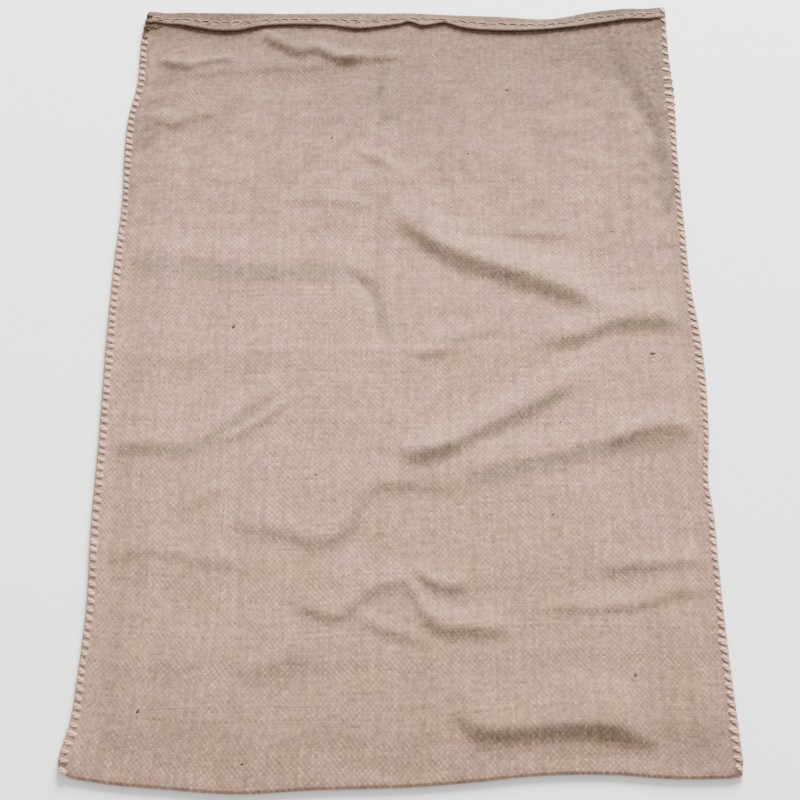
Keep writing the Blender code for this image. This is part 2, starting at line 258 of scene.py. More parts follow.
# What lies on the cloth.
MILLIMETRE = 0.001
FLECK_SEED = 41
FLECK_SIDES = 5
SMALL_FLECKS = 70
FLECK_X = (-0.27, 0.28)
FLECK_Y = (-0.42, 0.40)
FLECK_SIZE = (0.8, 2.2)
FLECK_PATH = ((-0.5, 0.0, 0.0), (-0.32, 0.05, 0.0), (0.05, -0.03, 0.0), (0.36, 0.04, 0.0), (0.5, 0.0, 0.0))
FLECK_WIDTHS = (0.10, 0.44, 0.54, 0.36, 0.08)
LARGE_FLECK_SCALE = 1.25
FIBRE_SEED = 51
FIBRE_SIDES = 3
FIBRE_POINTS = 6
FIBRE_DENSITY = 3200.0
FIBRE_LENGTH = 0.010
FIBRE_WIDTH = 0.00015
FIBRE_TIP = 0.35
FIBRE_TIP_SHARE = 0.08
FIBRE_SWAY = 0.0016
FIBRE_BENDS = 2.2
FIBRE_ARCH = 0.0010
FIBRE_SINK = 0.0002
SLUB_STEP = 0.004
SLUB_SWAY = 0.0006
SLUB_SWAY_LENGTH = 0.02
SLUB_SWAY_SEED = 21
SLUB_USUAL = 0.75
SLUB_BULGE = 0.45
SLUB_BULGE_LENGTH = 0.011
SLUB_BULGE_SEED = 22
SLUB_TIP_SHARE = 0.03
SLUB_TAPER = 0.6
SLUB_THINNEST = 0.0004
SLUB_FLATNESS = 0.22
SLUB_SINK = 0.00035
STREWN_GRID = (60, 90)
STREWN_WIDTH = 0.97
STREWN_LENGTH = 0.985
STREWN_UP = 0.965
STREWN_START = 0.005

# What the trees that place pieces add to their seed for turns and for tints.
TURN_SEED = 100.0
TINT_SEED = 200.0


def rows(kind, *values):
    """Rows of one kind, each from its own numbers."""
    return tuple(kind(*row) for row in values)


class EdgePoint(NamedTuple):
    """A place on a side edge: how far up the sack, and how far across."""

    y: float
    x: float


LEFT_EDGE = rows(
    EdgePoint,
    (-0.440, -0.3080), (-0.418, -0.3060), (-0.396, -0.3010), (-0.340, -0.2970), (-0.285, -0.2950),
    (-0.200, -0.2975), (-0.090, -0.2980), (0.010, -0.2995), (0.110, -0.2990), (0.190, -0.2965),
    (0.260, -0.2990), (0.305, -0.2980), (0.345, -0.2920), (0.420, -0.2910), (0.456, -0.2860),
)
RIGHT_EDGE = rows(
    EdgePoint,
    (-0.440, 0.3040), (-0.385, 0.3030), (-0.320, 0.3013), (-0.240, 0.3010), (-0.180, 0.3010),
    (-0.155, 0.2995), (-0.100, 0.3045), (-0.040, 0.3072), (0.020, 0.3062), (0.075, 0.3022),
    (0.150, 0.3020), (0.250, 0.3028), (0.310, 0.3048), (0.400, 0.3045), (0.456, 0.3052),
)


class CrossPoint(NamedTuple):
    """A place on the foot: how far across, and how far up the sack."""

    x: float
    y: float


FOOT_EDGE = rows(
    CrossPoint,
    (-0.305, -0.4405), (-0.265, -0.4475), (-0.215, -0.4525), (-0.150, -0.4575),
    (-0.080, -0.4545), (0.020, -0.4515), (0.065, -0.4480), (0.115, -0.4430),
    (0.185, -0.4420), (0.240, -0.4460), (0.300, -0.4460),
)


class HemPoint(NamedTuple):
    """A place along the mouth: where the cloth turns, how deep its hem is there, and how
    far the hem's free edge stands off the cloth."""

    x: float
    mouth_y: float
    depth: float
    lift: float


HEM = rows(
    HemPoint,
    (-0.300, 0.4530, 0.0150, 0.0002),
    (-0.268, 0.4510, 0.0150, 0.0003),
    (-0.254, 0.4500, 0.0174, 0.0014),
    (-0.208, 0.4478, 0.0256, 0.0018),
    (-0.193, 0.4472, 0.0262, 0.0018),
    (-0.144, 0.4460, 0.0166, 0.0013),
    (-0.105, 0.4457, 0.0158, 0.0012),
    (-0.077, 0.4455, 0.0176, 0.0012),
    (-0.049, 0.4455, 0.0230, 0.0014),
    (-0.015, 0.4452, 0.0190, 0.0013),
    (0.004, 0.4451, 0.0150, 0.0012),
    (0.011, 0.4450, 0.0122, 0.0013),
    (0.027, 0.4445, 0.0176, 0.0014),
    (0.040, 0.4434, 0.0146, 0.0013),
    (0.051, 0.4426, 0.0112, 0.0013),
    (0.070, 0.4412, 0.0172, 0.0015),
    (0.115, 0.4385, 0.0204, 0.0018),
    (0.172, 0.4352, 0.0152, 0.0017),
    (0.229, 0.4465, 0.0185, 0.0017),
    (0.275, 0.4515, 0.0150, 0.0015),
    (0.286, 0.4524, 0.0142, 0.0008),
    (0.294, 0.4530, 0.0140, 0.0002),
    (0.302, 0.4535, 0.0140, 0.0001),
)


class HemDarkening(NamedTuple):
    """How dark the hem is at a place along the mouth, with grime and painted shade, and how much painted
    shadow lies on the cloth just below it.
    """

    x: float
    hem: float
    below: float


HEM_DARKENING = rows(
    HemDarkening,
    (-0.300, 0.64, 0.40), (-0.260, 0.66, 0.38), (-0.205, 0.72, 0.40),
    (-0.165, 0.66, 0.46), (-0.140, 0.58, 0.20), (-0.110, 0.54, 0.04),
    (-0.075, 0.52, 0.00), (-0.048, 0.56, 0.10), (-0.010, 0.56, 0.02),
    (0.025, 0.48, 0.18), (0.060, 0.50, 0.24), (0.120, 0.56, 0.26),
    (0.160, 0.46, 0.14), (0.200, 0.64, 0.24), (0.245, 0.74, 0.44),
    (0.275, 0.66, 0.30), (0.300, 0.60, 0.24),
)


class Fold(NamedTuple):
    """A rumple that runs across the sack.

    line is the middle of its steep side, in x and y. The crest lies CREST_PLACE of near
    beyond it. The steep side is near wide, and the cloth falls away past the crest over far.
    """

    height: float
    near: float
    far: float
    line: tuple


FOLDS = rows(
    Fold,
    (0.0078, 0.024, 0.050, ((0.000, 0.150), (0.040, 0.116), (0.100, 0.088), (0.150, 0.068), (0.205, 0.044))),
    (0.0056, 0.018, 0.038, ((0.145, 0.000), (0.185, 0.007), (0.215, 0.021), (0.250, 0.025), (0.296, 0.025))),
    (0.0058, 0.020, 0.038, ((-0.002, -0.126), (0.039, -0.121), (0.103, -0.089), (0.150, -0.063),
      (0.182, -0.044))),
    (0.0036, 0.020, 0.016, ((0.002, -0.130), (0.030, -0.128), (0.060, -0.116))),
    (0.0040, 0.026, 0.040, ((0.040, -0.158), (0.100, -0.143), (0.150, -0.131), (0.205, -0.117),
      (0.294, -0.103))),
    (0.0026, 0.010, 0.020, ((0.198, -0.123), (0.222, -0.107), (0.255, -0.098), (0.302, -0.097))),
    (0.0033, 0.021, 0.030, ((-0.300, -0.115), (-0.245, -0.116), (-0.201, -0.116), (-0.170, -0.092),
      (-0.118, -0.050))),
    (0.0026, 0.012, 0.012, ((-0.180, -0.115), (-0.148, -0.095), (-0.108, -0.062))),
    (0.0031, 0.016, 0.032, ((-0.160, -0.199), (-0.110, -0.210), (-0.075, -0.219), (-0.050, -0.207),
      (-0.030, -0.166), (0.000, -0.159), (0.045, -0.162))),
    (0.0031, 0.012, 0.030, ((-0.096, -0.284), (-0.052, -0.292), (-0.032, -0.272), (0.008, -0.260))),
    (0.0041, 0.016, 0.024, ((0.000, -0.262), (0.012, -0.274), (0.022, -0.296), (0.036, -0.307),
      (0.060, -0.309), (0.100, -0.310))),
    (0.0036, 0.014, 0.013, ((0.012, -0.249), (0.030, -0.262), (0.045, -0.267), (0.062, -0.263))),
    (0.0066, 0.016, 0.060, ((0.050, -0.393), (0.066, -0.405), (0.100, -0.407), (0.150, -0.404),
      (0.190, -0.406), (0.226, -0.419))),
    (0.0024, 0.010, 0.025, ((0.140, -0.289), (0.200, -0.287), (0.236, -0.282), (0.262, -0.272),
      (0.292, -0.276))),
    (0.0026, 0.012, 0.025, ((0.185, -0.249), (0.240, -0.245), (0.298, -0.236))),
    (0.0031, 0.032, 0.040, ((-0.302, 0.107), (-0.240, 0.102), (-0.190, 0.094), (-0.120, 0.090),
      (-0.060, 0.089), (-0.026, 0.072))),
    (0.0005, 0.010, 0.014, ((-0.302, -0.013), (-0.070, -0.009), (0.147, -0.005))),
    (0.0027, 0.010, 0.012, ((0.012, -0.011), (0.030, -0.010), (0.050, -0.006))),
    (0.0017, 0.010, 0.030, ((-0.292, 0.343), (-0.240, 0.352), (-0.190, 0.358), (-0.120, 0.363),
      (-0.055, 0.365))),
    (0.0036, 0.012, 0.012, ((-0.268, 0.378), (-0.242, 0.367), (-0.220, 0.366))),
    (0.0030, 0.008, 0.010, ((-0.226, 0.371), (-0.206, 0.375), (-0.184, 0.377))),
    (0.0050, 0.013, 0.018, ((-0.152, 0.409), (-0.130, 0.394), (-0.112, 0.385), (-0.088, 0.387),
      (-0.074, 0.377), (-0.060, 0.373), (-0.036, 0.376))),
    (0.0024, 0.008, 0.012, ((-0.066, 0.372), (-0.036, 0.3765), (-0.014, 0.3775), (0.004, 0.378))),
    (0.0025, 0.012, 0.022, ((-0.288, 0.280), (-0.262, 0.290), (-0.245, 0.283), (-0.225, 0.294),
      (-0.200, 0.299))),
    (0.0016, 0.013, 0.026, ((-0.302, -0.234), (-0.262, -0.230), (-0.242, -0.226), (-0.205, -0.235),
      (-0.150, -0.246))),
    (0.0018, 0.013, 0.020, ((0.028, 0.002), (0.071, 0.008), (0.104, 0.020))),
    (0.0018, 0.010, 0.022, ((0.018, 0.150), (0.060, 0.143), (0.120, 0.136), (0.182, 0.133))),
    (0.0026, 0.010, 0.014, ((-0.044, 0.243), (-0.025, 0.235), (-0.002, 0.221))),
    (0.0014, 0.012, 0.018, ((-0.112, 0.180), (-0.060, 0.176), (-0.030, 0.167))),
    (0.0016, 0.012, 0.014, ((-0.215, -0.186), (-0.190, -0.172), (-0.166, -0.159))),
    (0.0024, 0.010, 0.014, ((-0.036, -0.299), (-0.012, -0.309), (0.016, -0.318))),
    (0.0014, 0.018, 0.022, ((-0.152, -0.353), (-0.118, -0.346), (-0.100, -0.336), (-0.073, -0.339))),
)

# Lengthwise rumples, with their lines in y and x and their crests towards -X. One with a
# height below nothing is a furrow.
CREASES = rows(
    Fold,
    (0.0009, 0.010, 0.014, ((-0.004, -0.013), (0.391, -0.012))),
    (-0.0016, 0.011, 0.012, ((-0.235, 0.033), (-0.140, 0.034))),
    (-0.0036, 0.015, 0.018, ((0.006, -0.012), (0.045, -0.019), (0.072, -0.028), (0.092, -0.046))),
    (-0.0036, 0.020, 0.020, ((0.150, 0.288), (0.240, 0.286), (0.290, 0.281), (0.330, 0.266), (0.365, 0.252),
      (0.402, 0.246))),
    (-0.0026, 0.017, 0.020, ((0.276, -0.012), (0.305, -0.016), (0.340, -0.018), (0.385, -0.012))),
)


class Swell(NamedTuple):
    """A low round bulge of the upper layer."""

    x: float
    y: float
    height: float
    radius: float


SWELLS = rows(
    Swell,
    (-0.130, 0.215, 0.0022, 0.150),
    (0.130, 0.250, 0.0020, 0.140),
    (0.215, -0.050, 0.0018, 0.100),
    (-0.120, 0.015, 0.0016, 0.110),
    (0.170, -0.205, 0.0020, 0.110),
    (-0.200, -0.190, 0.0014, 0.100),
    (-0.170, -0.370, 0.0016, 0.120),
    (0.160, -0.350, 0.0014, 0.090),
)


class Patch(NamedTuple):
    """A soft darker patch, of grime in some places and of painted shade in others, or with an amount below
    nothing of cleaner cloth.
    """

    x: float
    y: float
    reach_x: float
    reach_y: float
    turn: float
    amount: float


PATCHES = rows(
    Patch,
    (0.268, 0.374, 0.024, 0.009, 0.0, 0.14),
    (-0.018, 0.338, 0.010, 0.032, 0.0, 0.12),
    (-0.278, 0.283, 0.016, 0.009, 0.0, 0.16),
    (-0.245, 0.281, 0.011, 0.009, 0.0, 0.14),
    # Painted shade standing in for a fold's shadow side.
    (-0.045, -0.194, 0.012, 0.032, -18.0, 0.20),
    (-0.272, -0.233, 0.034, 0.010, 0.0, 0.12),
    # Painted shadow, with grime, under the hem at its left.
    (-0.225, 0.416, 0.090, 0.022, -4.0, 0.16),
    (0.264, 0.362, 0.040, 0.088, 13.0, 0.36),
    (0.247, 0.377, 0.013, 0.013, 0.0, 0.10),
    (0.255, 0.358, 0.012, 0.012, 0.0, 0.05),
    (0.276, 0.326, 0.016, 0.016, 0.0, 0.08),
    (0.281, 0.290, 0.011, 0.016, 20.0, 0.09),
    (0.287, 0.220, 0.026, 0.110, 0.0, 0.24),
    (0.195, 0.386, 0.080, 0.016, 0.0, 0.12),
    (0.025, 0.318, 0.045, 0.018, 12.0, 0.12),
    (-0.013, 0.298, 0.012, 0.020, 0.0, 0.20),
    (-0.124, 0.401, 0.036, 0.018, -25.0, 0.20),
    (-0.112, 0.386, 0.024, 0.012, 0.0, 0.16),
    (-0.082, 0.383, 0.015, 0.010, -30.0, 0.08),
    (-0.060, 0.373, 0.018, 0.008, 0.0, 0.05),
    # These two darken the cloth towards the mouth and towards the foot.
    (0.030, 0.450, 1.200, 0.380, 0.0, 0.56),
    (0.040, -0.400, 1.200, 0.240, 0.0, 0.15),
    (0.320, -0.020, 0.160, 0.900, 0.0, 0.13),
    (0.250, 0.400, 0.130, 0.120, 0.0, 0.20),
    (0.300, 0.270, 0.060, 0.140, 0.0, 0.14),
    (-0.210, 0.418, 0.070, 0.014, 0.0, 0.10),
    (-0.250, 0.366, 0.045, 0.020, 6.0, 0.10),
    (-0.236, 0.365, 0.013, 0.009, 0.0, 0.16),
    (-0.245, 0.284, 0.040, 0.012, 8.0, 0.10),
    (-0.235, 0.240, 0.060, 0.032, 0.0, 0.05),
    (-0.190, 0.078, 0.110, 0.024, -3.0, 0.10),
    (-0.020, 0.140, 0.022, 0.016, 0.0, 0.16),
    (0.004, 0.105, 0.014, 0.030, -10.0, 0.13),
    (0.085, 0.016, 0.055, 0.020, 8.0, 0.12),
    (-0.012, -0.018, 0.012, 0.008, 0.0, 0.18),
    (0.165, 0.134, 0.026, 0.010, 0.0, 0.15),
    (0.030, -0.127, 0.026, 0.014, 5.0, 0.14),
    (0.216, -0.113, 0.016, 0.012, 20.0, 0.12),
    (0.281, -0.106, 0.014, 0.010, 0.0, 0.12),
    (0.150, -0.132, 0.110, 0.020, 12.0, 0.05),
    (-0.250, -0.114, 0.060, 0.016, 0.0, 0.07),
    (-0.153, -0.201, 0.009, 0.007, 0.0, 0.06),
    (-0.070, -0.219, 0.024, 0.010, 0.0, 0.04),
    (0.023, -0.324, 0.009, 0.008, -30.0, 0.34),
    (0.034, -0.300, 0.020, 0.012, -20.0, 0.10),
    (0.034, -0.262, 0.022, 0.010, -15.0, 0.14),
    (-0.110, -0.342, 0.060, 0.026, 6.0, 0.15),
    (-0.205, -0.345, 0.070, 0.022, 0.0, 0.08),
    (-0.245, -0.400, 0.080, 0.050, 0.0, 0.05),
    (0.225, -0.284, 0.022, 0.007, 6.0, 0.14),
    (0.270, -0.241, 0.030, 0.009, 4.0, 0.10),
    (0.284, -0.275, 0.010, 0.018, 0.0, 0.08),
    (0.278, -0.412, 0.050, 0.046, 0.0, 0.26),
    (0.235, -0.410, 0.040, 0.018, -25.0, 0.08),
    (-0.130, -0.450, 0.060, 0.010, -2.0, 0.10),
    (0.050, -0.444, 0.022, 0.009, 0.0, 0.12),
    (-0.292, 0.250, 0.032, 0.250, 0.0, 0.32),
    (0.302, 0.060, 0.040, 0.130, 0.0, 0.12),
    # Painted shade beside the end of a fold.
    (0.216, 0.140, 0.036, 0.032, 0.0, 0.14),
    (0.200, -0.250, 0.045, 0.024, 6.0, 0.12),
    (-0.050, 0.300, 0.042, 0.032, 0.0, 0.10),
    (0.045, 0.245, 0.042, 0.030, 0.0, 0.08),
    (0.110, -0.405, 0.055, 0.020, 0.0, -0.12),
    (-0.168, -0.180, 0.006, 0.050, 0.0, -0.09),
    (-0.172, -0.300, 0.004, 0.045, 2.0, -0.08),
    (-0.150, 0.335, 0.110, 0.024, 4.0, -0.06),
    (0.110, 0.128, 0.110, 0.014, -6.0, -0.05),
    (-0.150, -0.305, 0.110, 0.014, 0.0, -0.05),
)


class Rumpling(NamedTuple):
    """Small uneven waves all over the upper layer, of about one size."""

    height: float
    size_x: float
    size_y: float
    seed: int


RUMPLING = rows(
    Rumpling,
    (0.00075, 0.060, 0.042, 11),
    (0.00035, 0.026, 0.020, 12),
    (0.00014, 0.012, 0.011, 13),
)
NOISE_SIDE = 64


class StitchRing(NamedTuple):
    """A ring of the twine in one whipped stitch.

    inset is how far in from the cloth's edge its middle is, along how far towards the
    mouth, and rise how much of any further layers' height lifts it.
    """

    inset: float
    height: float
    along: float
    width: float
    thickness: float
    rise: float


WHIP_STITCH = rows(
    StitchRing,
    (0.0058, 0.0038, 0.0036, 0.0018, 0.0009, 1.0),
    (0.0054, 0.0047, 0.0035, 0.0036, 0.0011, 1.0),
    (0.0040, 0.0051, 0.0026, 0.0046, 0.0013, 1.0),
    (0.0022, 0.0049, 0.0012, 0.0048, 0.0013, 1.0),
    (0.0007, 0.0043, 0.0000, 0.0047, 0.0013, 0.95),
    (0.0000, 0.0031, -0.0010, 0.0045, 0.0012, 0.5),
    (0.0001, 0.0016, -0.0020, 0.0044, 0.0012, 0.1),
    (0.0016, 0.0009, -0.0031, 0.0042, 0.0012, 0.0),
    (0.0046, 0.0009, -0.0050, 0.0032, 0.0011, 0.0),
    (0.0056, 0.0021, -0.0058, 0.0016, 0.0010, 0.0),
)


class SewingPoint(NamedTuple):
    """How far apart the stitches of each side are, at a place up the sack."""

    y: float
    left: float
    right: float


SEWING = rows(
    SewingPoint,
    (-0.450, 0.0084, 0.0086),
    (-0.200, 0.0088, 0.0084),
    (0.100, 0.0084, 0.0086),
    (0.250, 0.0086, 0.0092),
    (0.340, 0.0088, 0.0112),
    (0.455, 0.0092, 0.0118),
)


class ReachPoint(NamedTuple):
    """How far in the stitches of each side show, and how many degrees more than usual they
    lean, at a place up the sack."""

    y: float
    left: float
    right: float
    left_lean: float
    right_lean: float


REACHES = rows(
    ReachPoint,
    (-0.445, 0.0086, 0.0080, 4.0, 8.0),
    (-0.405, 0.0106, 0.0098, 5.0, 10.0),
    (-0.372, 0.0084, 0.0084, 0.0, 6.0),
    (-0.318, 0.0076, 0.0093, 0.0, 6.0),
    (-0.275, 0.0084, 0.0070, 2.0, 12.0),
    (-0.230, 0.0086, 0.0078, 4.0, 12.0),
    (-0.170, 0.0092, 0.0070, 4.0, 14.0),
    (-0.105, 0.0094, 0.0062, 3.0, 14.0),
    (-0.050, 0.0090, 0.0090, 0.0, 6.0),
    (0.012, 0.0100, 0.0102, 0.0, 3.0),
    (0.058, 0.0092, 0.0082, 4.0, 8.0),
    (0.096, 0.0104, 0.0082, 6.0, 12.0),
    (0.140, 0.0084, 0.0082, 5.0, 12.0),
    (0.200, 0.0074, 0.0080, -4.0, 12.0),
    (0.265, 0.0094, 0.0078, 5.0, 8.0),
    (0.310, 0.0084, 0.0098, 2.0, -14.0),
    (0.345, 0.0078, 0.0108, -4.0, -18.0),
    (0.385, 0.0080, 0.0082, -4.0, 10.0),
    (0.452, 0.0080, 0.0080, -4.0, 14.0),
)


class Slub(NamedTuple):
    """A thick length of yarn, from one place in x and y to another."""

    start: tuple
    end: tuple
    width: float


SLUBS = rows(
    Slub,
    ((-0.129, -0.2225), (-0.091, -0.2215), 0.0020),
    ((-0.259, -0.3800), (-0.160, -0.3790), 0.0011),
    ((-0.150, -0.3788), (-0.056, -0.3782), 0.0012),
    ((-0.177, -0.3440), (-0.171, -0.2500), 0.0020),
    ((-0.170, -0.2440), (-0.168, -0.1560), 0.0032),
    ((0.118, 0.1280), (0.160, 0.1286), 0.0012),
    ((-0.238, 0.1830), (-0.196, 0.1838), 0.0012),
    ((0.201, -0.3310), (0.236, -0.3304), 0.0013),
)


class LooseEnd(NamedTuple):
    """A length of stained thread that lies near the mouth's left end: its width, and its
    places in x, y and height over the cloth's top there."""

    width: float
    path: tuple


LOOSE_ENDS = rows(
    LooseEnd,
    (0.0013, ((-0.2895, 0.4270, 0.0008), (-0.2850, 0.4305, 0.0014), (-0.2805, 0.4285, 0.0010),
      (-0.2765, 0.4320, 0.0016), (-0.2715, 0.4300, 0.0010), (-0.2675, 0.4325, 0.0006))),
    (0.0011, ((-0.2900, 0.4310, 0.0010), (-0.2860, 0.4275, 0.0018), (-0.2820, 0.4315, 0.0016),
      (-0.2780, 0.4290, 0.0010), (-0.2740, 0.4275, 0.0006))),
    (0.0012, ((-0.2885, 0.4280, 0.0010), (-0.2870, 0.4230, 0.0014), (-0.2885, 0.4180, 0.0012),
      (-0.2868, 0.4125, 0.0010), (-0.2876, 0.4080, 0.0004))),
    (0.0010, ((-0.2735, 0.4402, 0.0004), (-0.2690, 0.4384, 0.0009), (-0.2640, 0.4372, 0.0008),
      (-0.2590, 0.4345, 0.0003))),
)


class Fleck(NamedTuple):
    """A dark scrap in the cloth: its place, its length, and its turn in degrees."""

    x: float
    y: float
    length: float
    turn: float


FLECKS = rows(
    Fleck,
    (0.120, 0.332, 0.0042, 80.0),
    (0.285, 0.366, 0.0036, 20.0),
    (0.075, 0.244, 0.0030, 10.0),
    (-0.073, 0.267, 0.0032, 95.0),
    (-0.169, 0.026, 0.0044, 75.0),
    (0.223, 0.141, 0.0028, 5.0),
    (0.255, -0.009, 0.0044, 0.0),
    (0.158, -0.088, 0.0030, 60.0),
    (0.146, -0.189, 0.0028, 15.0),
    (-0.082, -0.144, 0.0030, 140.0),
    (0.213, -0.351, 0.0036, 80.0),
    (-0.238, -0.382, 0.0040, 70.0),
    (-0.142, -0.431, 0.0030, 30.0),
)


class Grain(NamedTuple):
    """Noise in the cloth's colour: its bumps a metre, its detail and roughness, and how much
    the light differs with it."""

    scale: float
    detail: float
    roughness: float
    shade: float


FUZZ = Grain(2600.0, 3.0, 0.65, 0.12)
TUFTS = Grain(420.0, 3.0, 0.60, 0.42)
BLOTCHES = Grain(110.0, 2.0, 0.55, 0.60)
LUMPS = Grain(190.0, 1.0, 0.50, 0.78)
CLOUDS = Grain(30.0, 3.0, 0.60, 0.40)
GRAINS = (FUZZ, TUFTS, BLOTCHES, LUMPS, CLOUDS)


class ClothSettings(bpy.types.PropertyGroup):
    """Sizes and colours of the sack's cloth."""

    thickness: bpy.props.FloatProperty(
        name="Thickness", description="Thickness of the hessian", default=0.0011, unit="LENGTH"
    )
    warp_pitch: bpy.props.FloatProperty(
        name="Warp pitch", description="From one lengthwise yarn to the next", default=0.00255, unit="LENGTH"
    )
    weft_pitch: bpy.props.FloatProperty(
        name="Weft pitch", description="From one crosswise yarn to the next", default=0.00305, unit="LENGTH"
    )
    relief: bpy.props.FloatProperty(
        name="Relief", description="How far the yarns stand out", default=0.0005, unit="LENGTH"
    )
    color: bpy.props.FloatVectorProperty(
        name="Jute", description="Colour of most of the yarn", subtype="COLOR", default=(0.328, 0.1935, 0.147)
    )
    warm_color: bpy.props.FloatVectorProperty(
        name="Yellow jute",
        description="Colour of the yellower patches",
        subtype="COLOR",
        default=(0.319, 0.1995, 0.127),
    )
    # Painted shade: the gaps between the yarns, and the yarns' low sides, are painted in this darker colour.
    gap_shade_color: bpy.props.FloatVectorProperty(
        name="Gaps", description="Colour between the yarns", subtype="COLOR", default=(0.258, 0.153, 0.107)
    )
    # Grime and painted shade darken the cloth towards this colour, most in the folds and at the hem.
    soil_and_shade_color: bpy.props.FloatVectorProperty(
        name="Grime and painted shade",
        description="Colour in the deepest folds",
        subtype="COLOR",
        default=(0.076, 0.050, 0.036),
    )


class SeamSettings(bpy.types.PropertyGroup):
    """Sizes and colours of the sewing's twine."""

    pitch: bpy.props.FloatProperty(
        name="Pitch", description="From one stitch to the next", default=0.0086, unit="LENGTH"
    )
    reach: bpy.props.FloatProperty(
        name="Reach", description="How far in from the edge the needle went", default=0.0070, unit="LENGTH"
    )
    chain_pitch: bpy.props.FloatProperty(
        name="Chain pitch",
        description="From one link of the hem's chain to the next",
        default=0.0112,
        unit="LENGTH",
    )
    chain_width: bpy.props.FloatProperty(
        name="Chain width", description="Width of the hem's chain", default=0.0066, unit="LENGTH"
    )
    chain_twine: bpy.props.FloatProperty(
        name="Chain twine", description="Thickness of the hem's twine", default=0.0018, unit="LENGTH"
    )
    unevenness: bpy.props.FloatProperty(
        name="Unevenness", description="How much the stitches differ", default=0.16, min=0.0, max=0.5
    )
    color: bpy.props.FloatVectorProperty(
        name="Twine", description="Colour of the twine", subtype="COLOR", default=(0.500, 0.320, 0.232)
    )
    hem_color: bpy.props.FloatVectorProperty(
        name="Hem twine",
        description="Colour of the hem's twine",
        subtype="COLOR",
        default=(0.250, 0.168, 0.126),
    )
    rust_color: bpy.props.FloatVectorProperty(
        name="Stained twine",
        description="Colour where rust or damp got in",
        subtype="COLOR",
        default=(0.102, 0.053, 0.029),
    )
    seed: bpy.props.IntProperty(name="Seed", description="Seed of the stitches' differences", default=5)


class StageSettings(bpy.types.PropertyGroup):
    """The floor and the light."""

    floor_color: bpy.props.FloatVectorProperty(
        name="Floor", description="Colour of the floor", subtype="COLOR", default=(0.93, 0.93, 0.92)
    )
    light_power: bpy.props.FloatProperty(
        name="Light", description="Power of the large light", default=940.0, unit="POWER"
    )
    sky_strength: bpy.props.FloatProperty(
        name="Sky", description="Strength of the even light from all around", default=1.0
    )


def smooth(value):
    """Runs from 0 to 1 as value does, level at both ends."""
    value = np.clip(value, 0.0, 1.0)
    return value * value * (3.0 - 2.0 * value)


def smooth_line(points, at, column=1):
    """A column of points at a value of the first one, with no sharp corners."""
    run = np.array([point[0] for point in points])
    level = np.array([point[column] for point in points])
    slope = np.gradient(level, run)
    at = np.clip(at, run[0], run[-1])
    place = np.clip(np.searchsorted(run, at) - 1, 0, len(run) - 2)
    step = run[place + 1] - run[place]
    part = (at - run[place]) / step
    rest = 1.0 - part
    return (
        rest * rest * (1.0 + 2.0 * part) * level[place]
        + part * part * (3.0 - 2.0 * part) * level[place + 1]
        + part * rest * rest * step * slope[place]
        - part * part * rest * step * slope[place + 1]
    )


def line_of(points, name, at):
    """A named column of points at a value of their first one."""
    return smooth_line(points, at, points[0]._fields.index(name))


def half_wave(distance, width):
    """1 at no distance, falling smoothly to 0 at width."""
    return 0.5 + 0.5 * np.cos(math.pi * np.clip(distance / width, 0.0, 1.0))


def fold_ends(fold, along, at_end):
    """1 along most of a fold, falling to 0 just past its ends: further past for more at_end."""
    start, end = fold.line[0][0], fold.line[-1][0]
    taper = TAPER_SHARE * (end - start)
    return smooth((along - start) / taper + at_end) * smooth((end - along) / taper + at_end)


def rumple(fold, along, beyond):
    """Height of one fold at places along it and beyond its line."""
    crest = beyond - CREST_PLACE * fold.near
    keen = np.clip(1.0 + crest / fold.near, 0.0, 1.0) ** 2
    near = half_wave(-crest, fold.near) * (1.0 - KEEN_SHARE) + keen * KEEN_SHARE
    shape = np.where(crest > 0.0, half_wave(crest, fold.far), near)
    return fold.height * fold_ends(fold, along, END_HEIGHT) * shape


def one_fold_shade(fold, along, beyond):
    """Painted shade in the steep side of one fold."""
    darkened = half_wave(np.abs(beyond), SHADED_SHARE * fold.near)
    return FOLD_SHADE_DEPTH * abs(fold.height) / SHADED_HEIGHT * fold_ends(fold, along, END_SHADE) * darkened


def each_fold(x, y):
    """Every fold and crease, with how far along it and how far beyond its line places are."""
    for fold in FOLDS:
        yield fold, x, y - smooth_line(fold.line, x)
    for crease in CREASES:
        yield crease, y, smooth_line(crease.line, y) - x


def shade_in_folds(points):
    """Painted shade in the steep sides of the folds and creases."""
    body_dark = np.zeros(len(points))
    for fold, along, beyond in each_fold(points[:, 0], points[:, 1]):
        body_dark = np.maximum(body_dark, one_fold_shade(fold, along, beyond))
    return body_dark


def uneven(x, y, seed):
    """Smooth random heights from -1 to 1, one bump or dip for each unit of x and y."""
    table = np.random.default_rng(seed).uniform(-1.0, 1.0, (NOISE_SIDE, NOISE_SIDE))
    column = np.floor(x).astype(int)
    row = np.floor(y).astype(int)
    part_x = smooth(x - column)
    part_y = smooth(y - row)

    def corner(right, up):
        return table[(column + right) % NOISE_SIDE, (row + up) % NOISE_SIDE]

    near = corner(0, 0) * (1.0 - part_x) + corner(1, 0) * part_x
    far = corner(0, 1) * (1.0 - part_x) + corner(1, 1) * part_x
    return near * (1.0 - part_y) + far * part_y


def rumples(x, y):
    """Height that all the swells, folds, creases and small waves add to the upper layer."""
    total = np.zeros_like(x)
    for swell in SWELLS:
        total += swell.height * half_wave(np.hypot(x - swell.x, y - swell.y), swell.radius)
    for fold, along, beyond in each_fold(x, y):
        total += rumple(fold, along, beyond)
    for waves in RUMPLING:
        total += waves.height * uneven(x / waves.size_x, y / waves.size_y, waves.seed)
    return total


def rim(y):
    """Where the side edges of the cloth run, left and right."""
    return smooth_line(LEFT_EDGE, y) + EDGE_INSET, smooth_line(RIGHT_EDGE, y) - EDGE_INSET


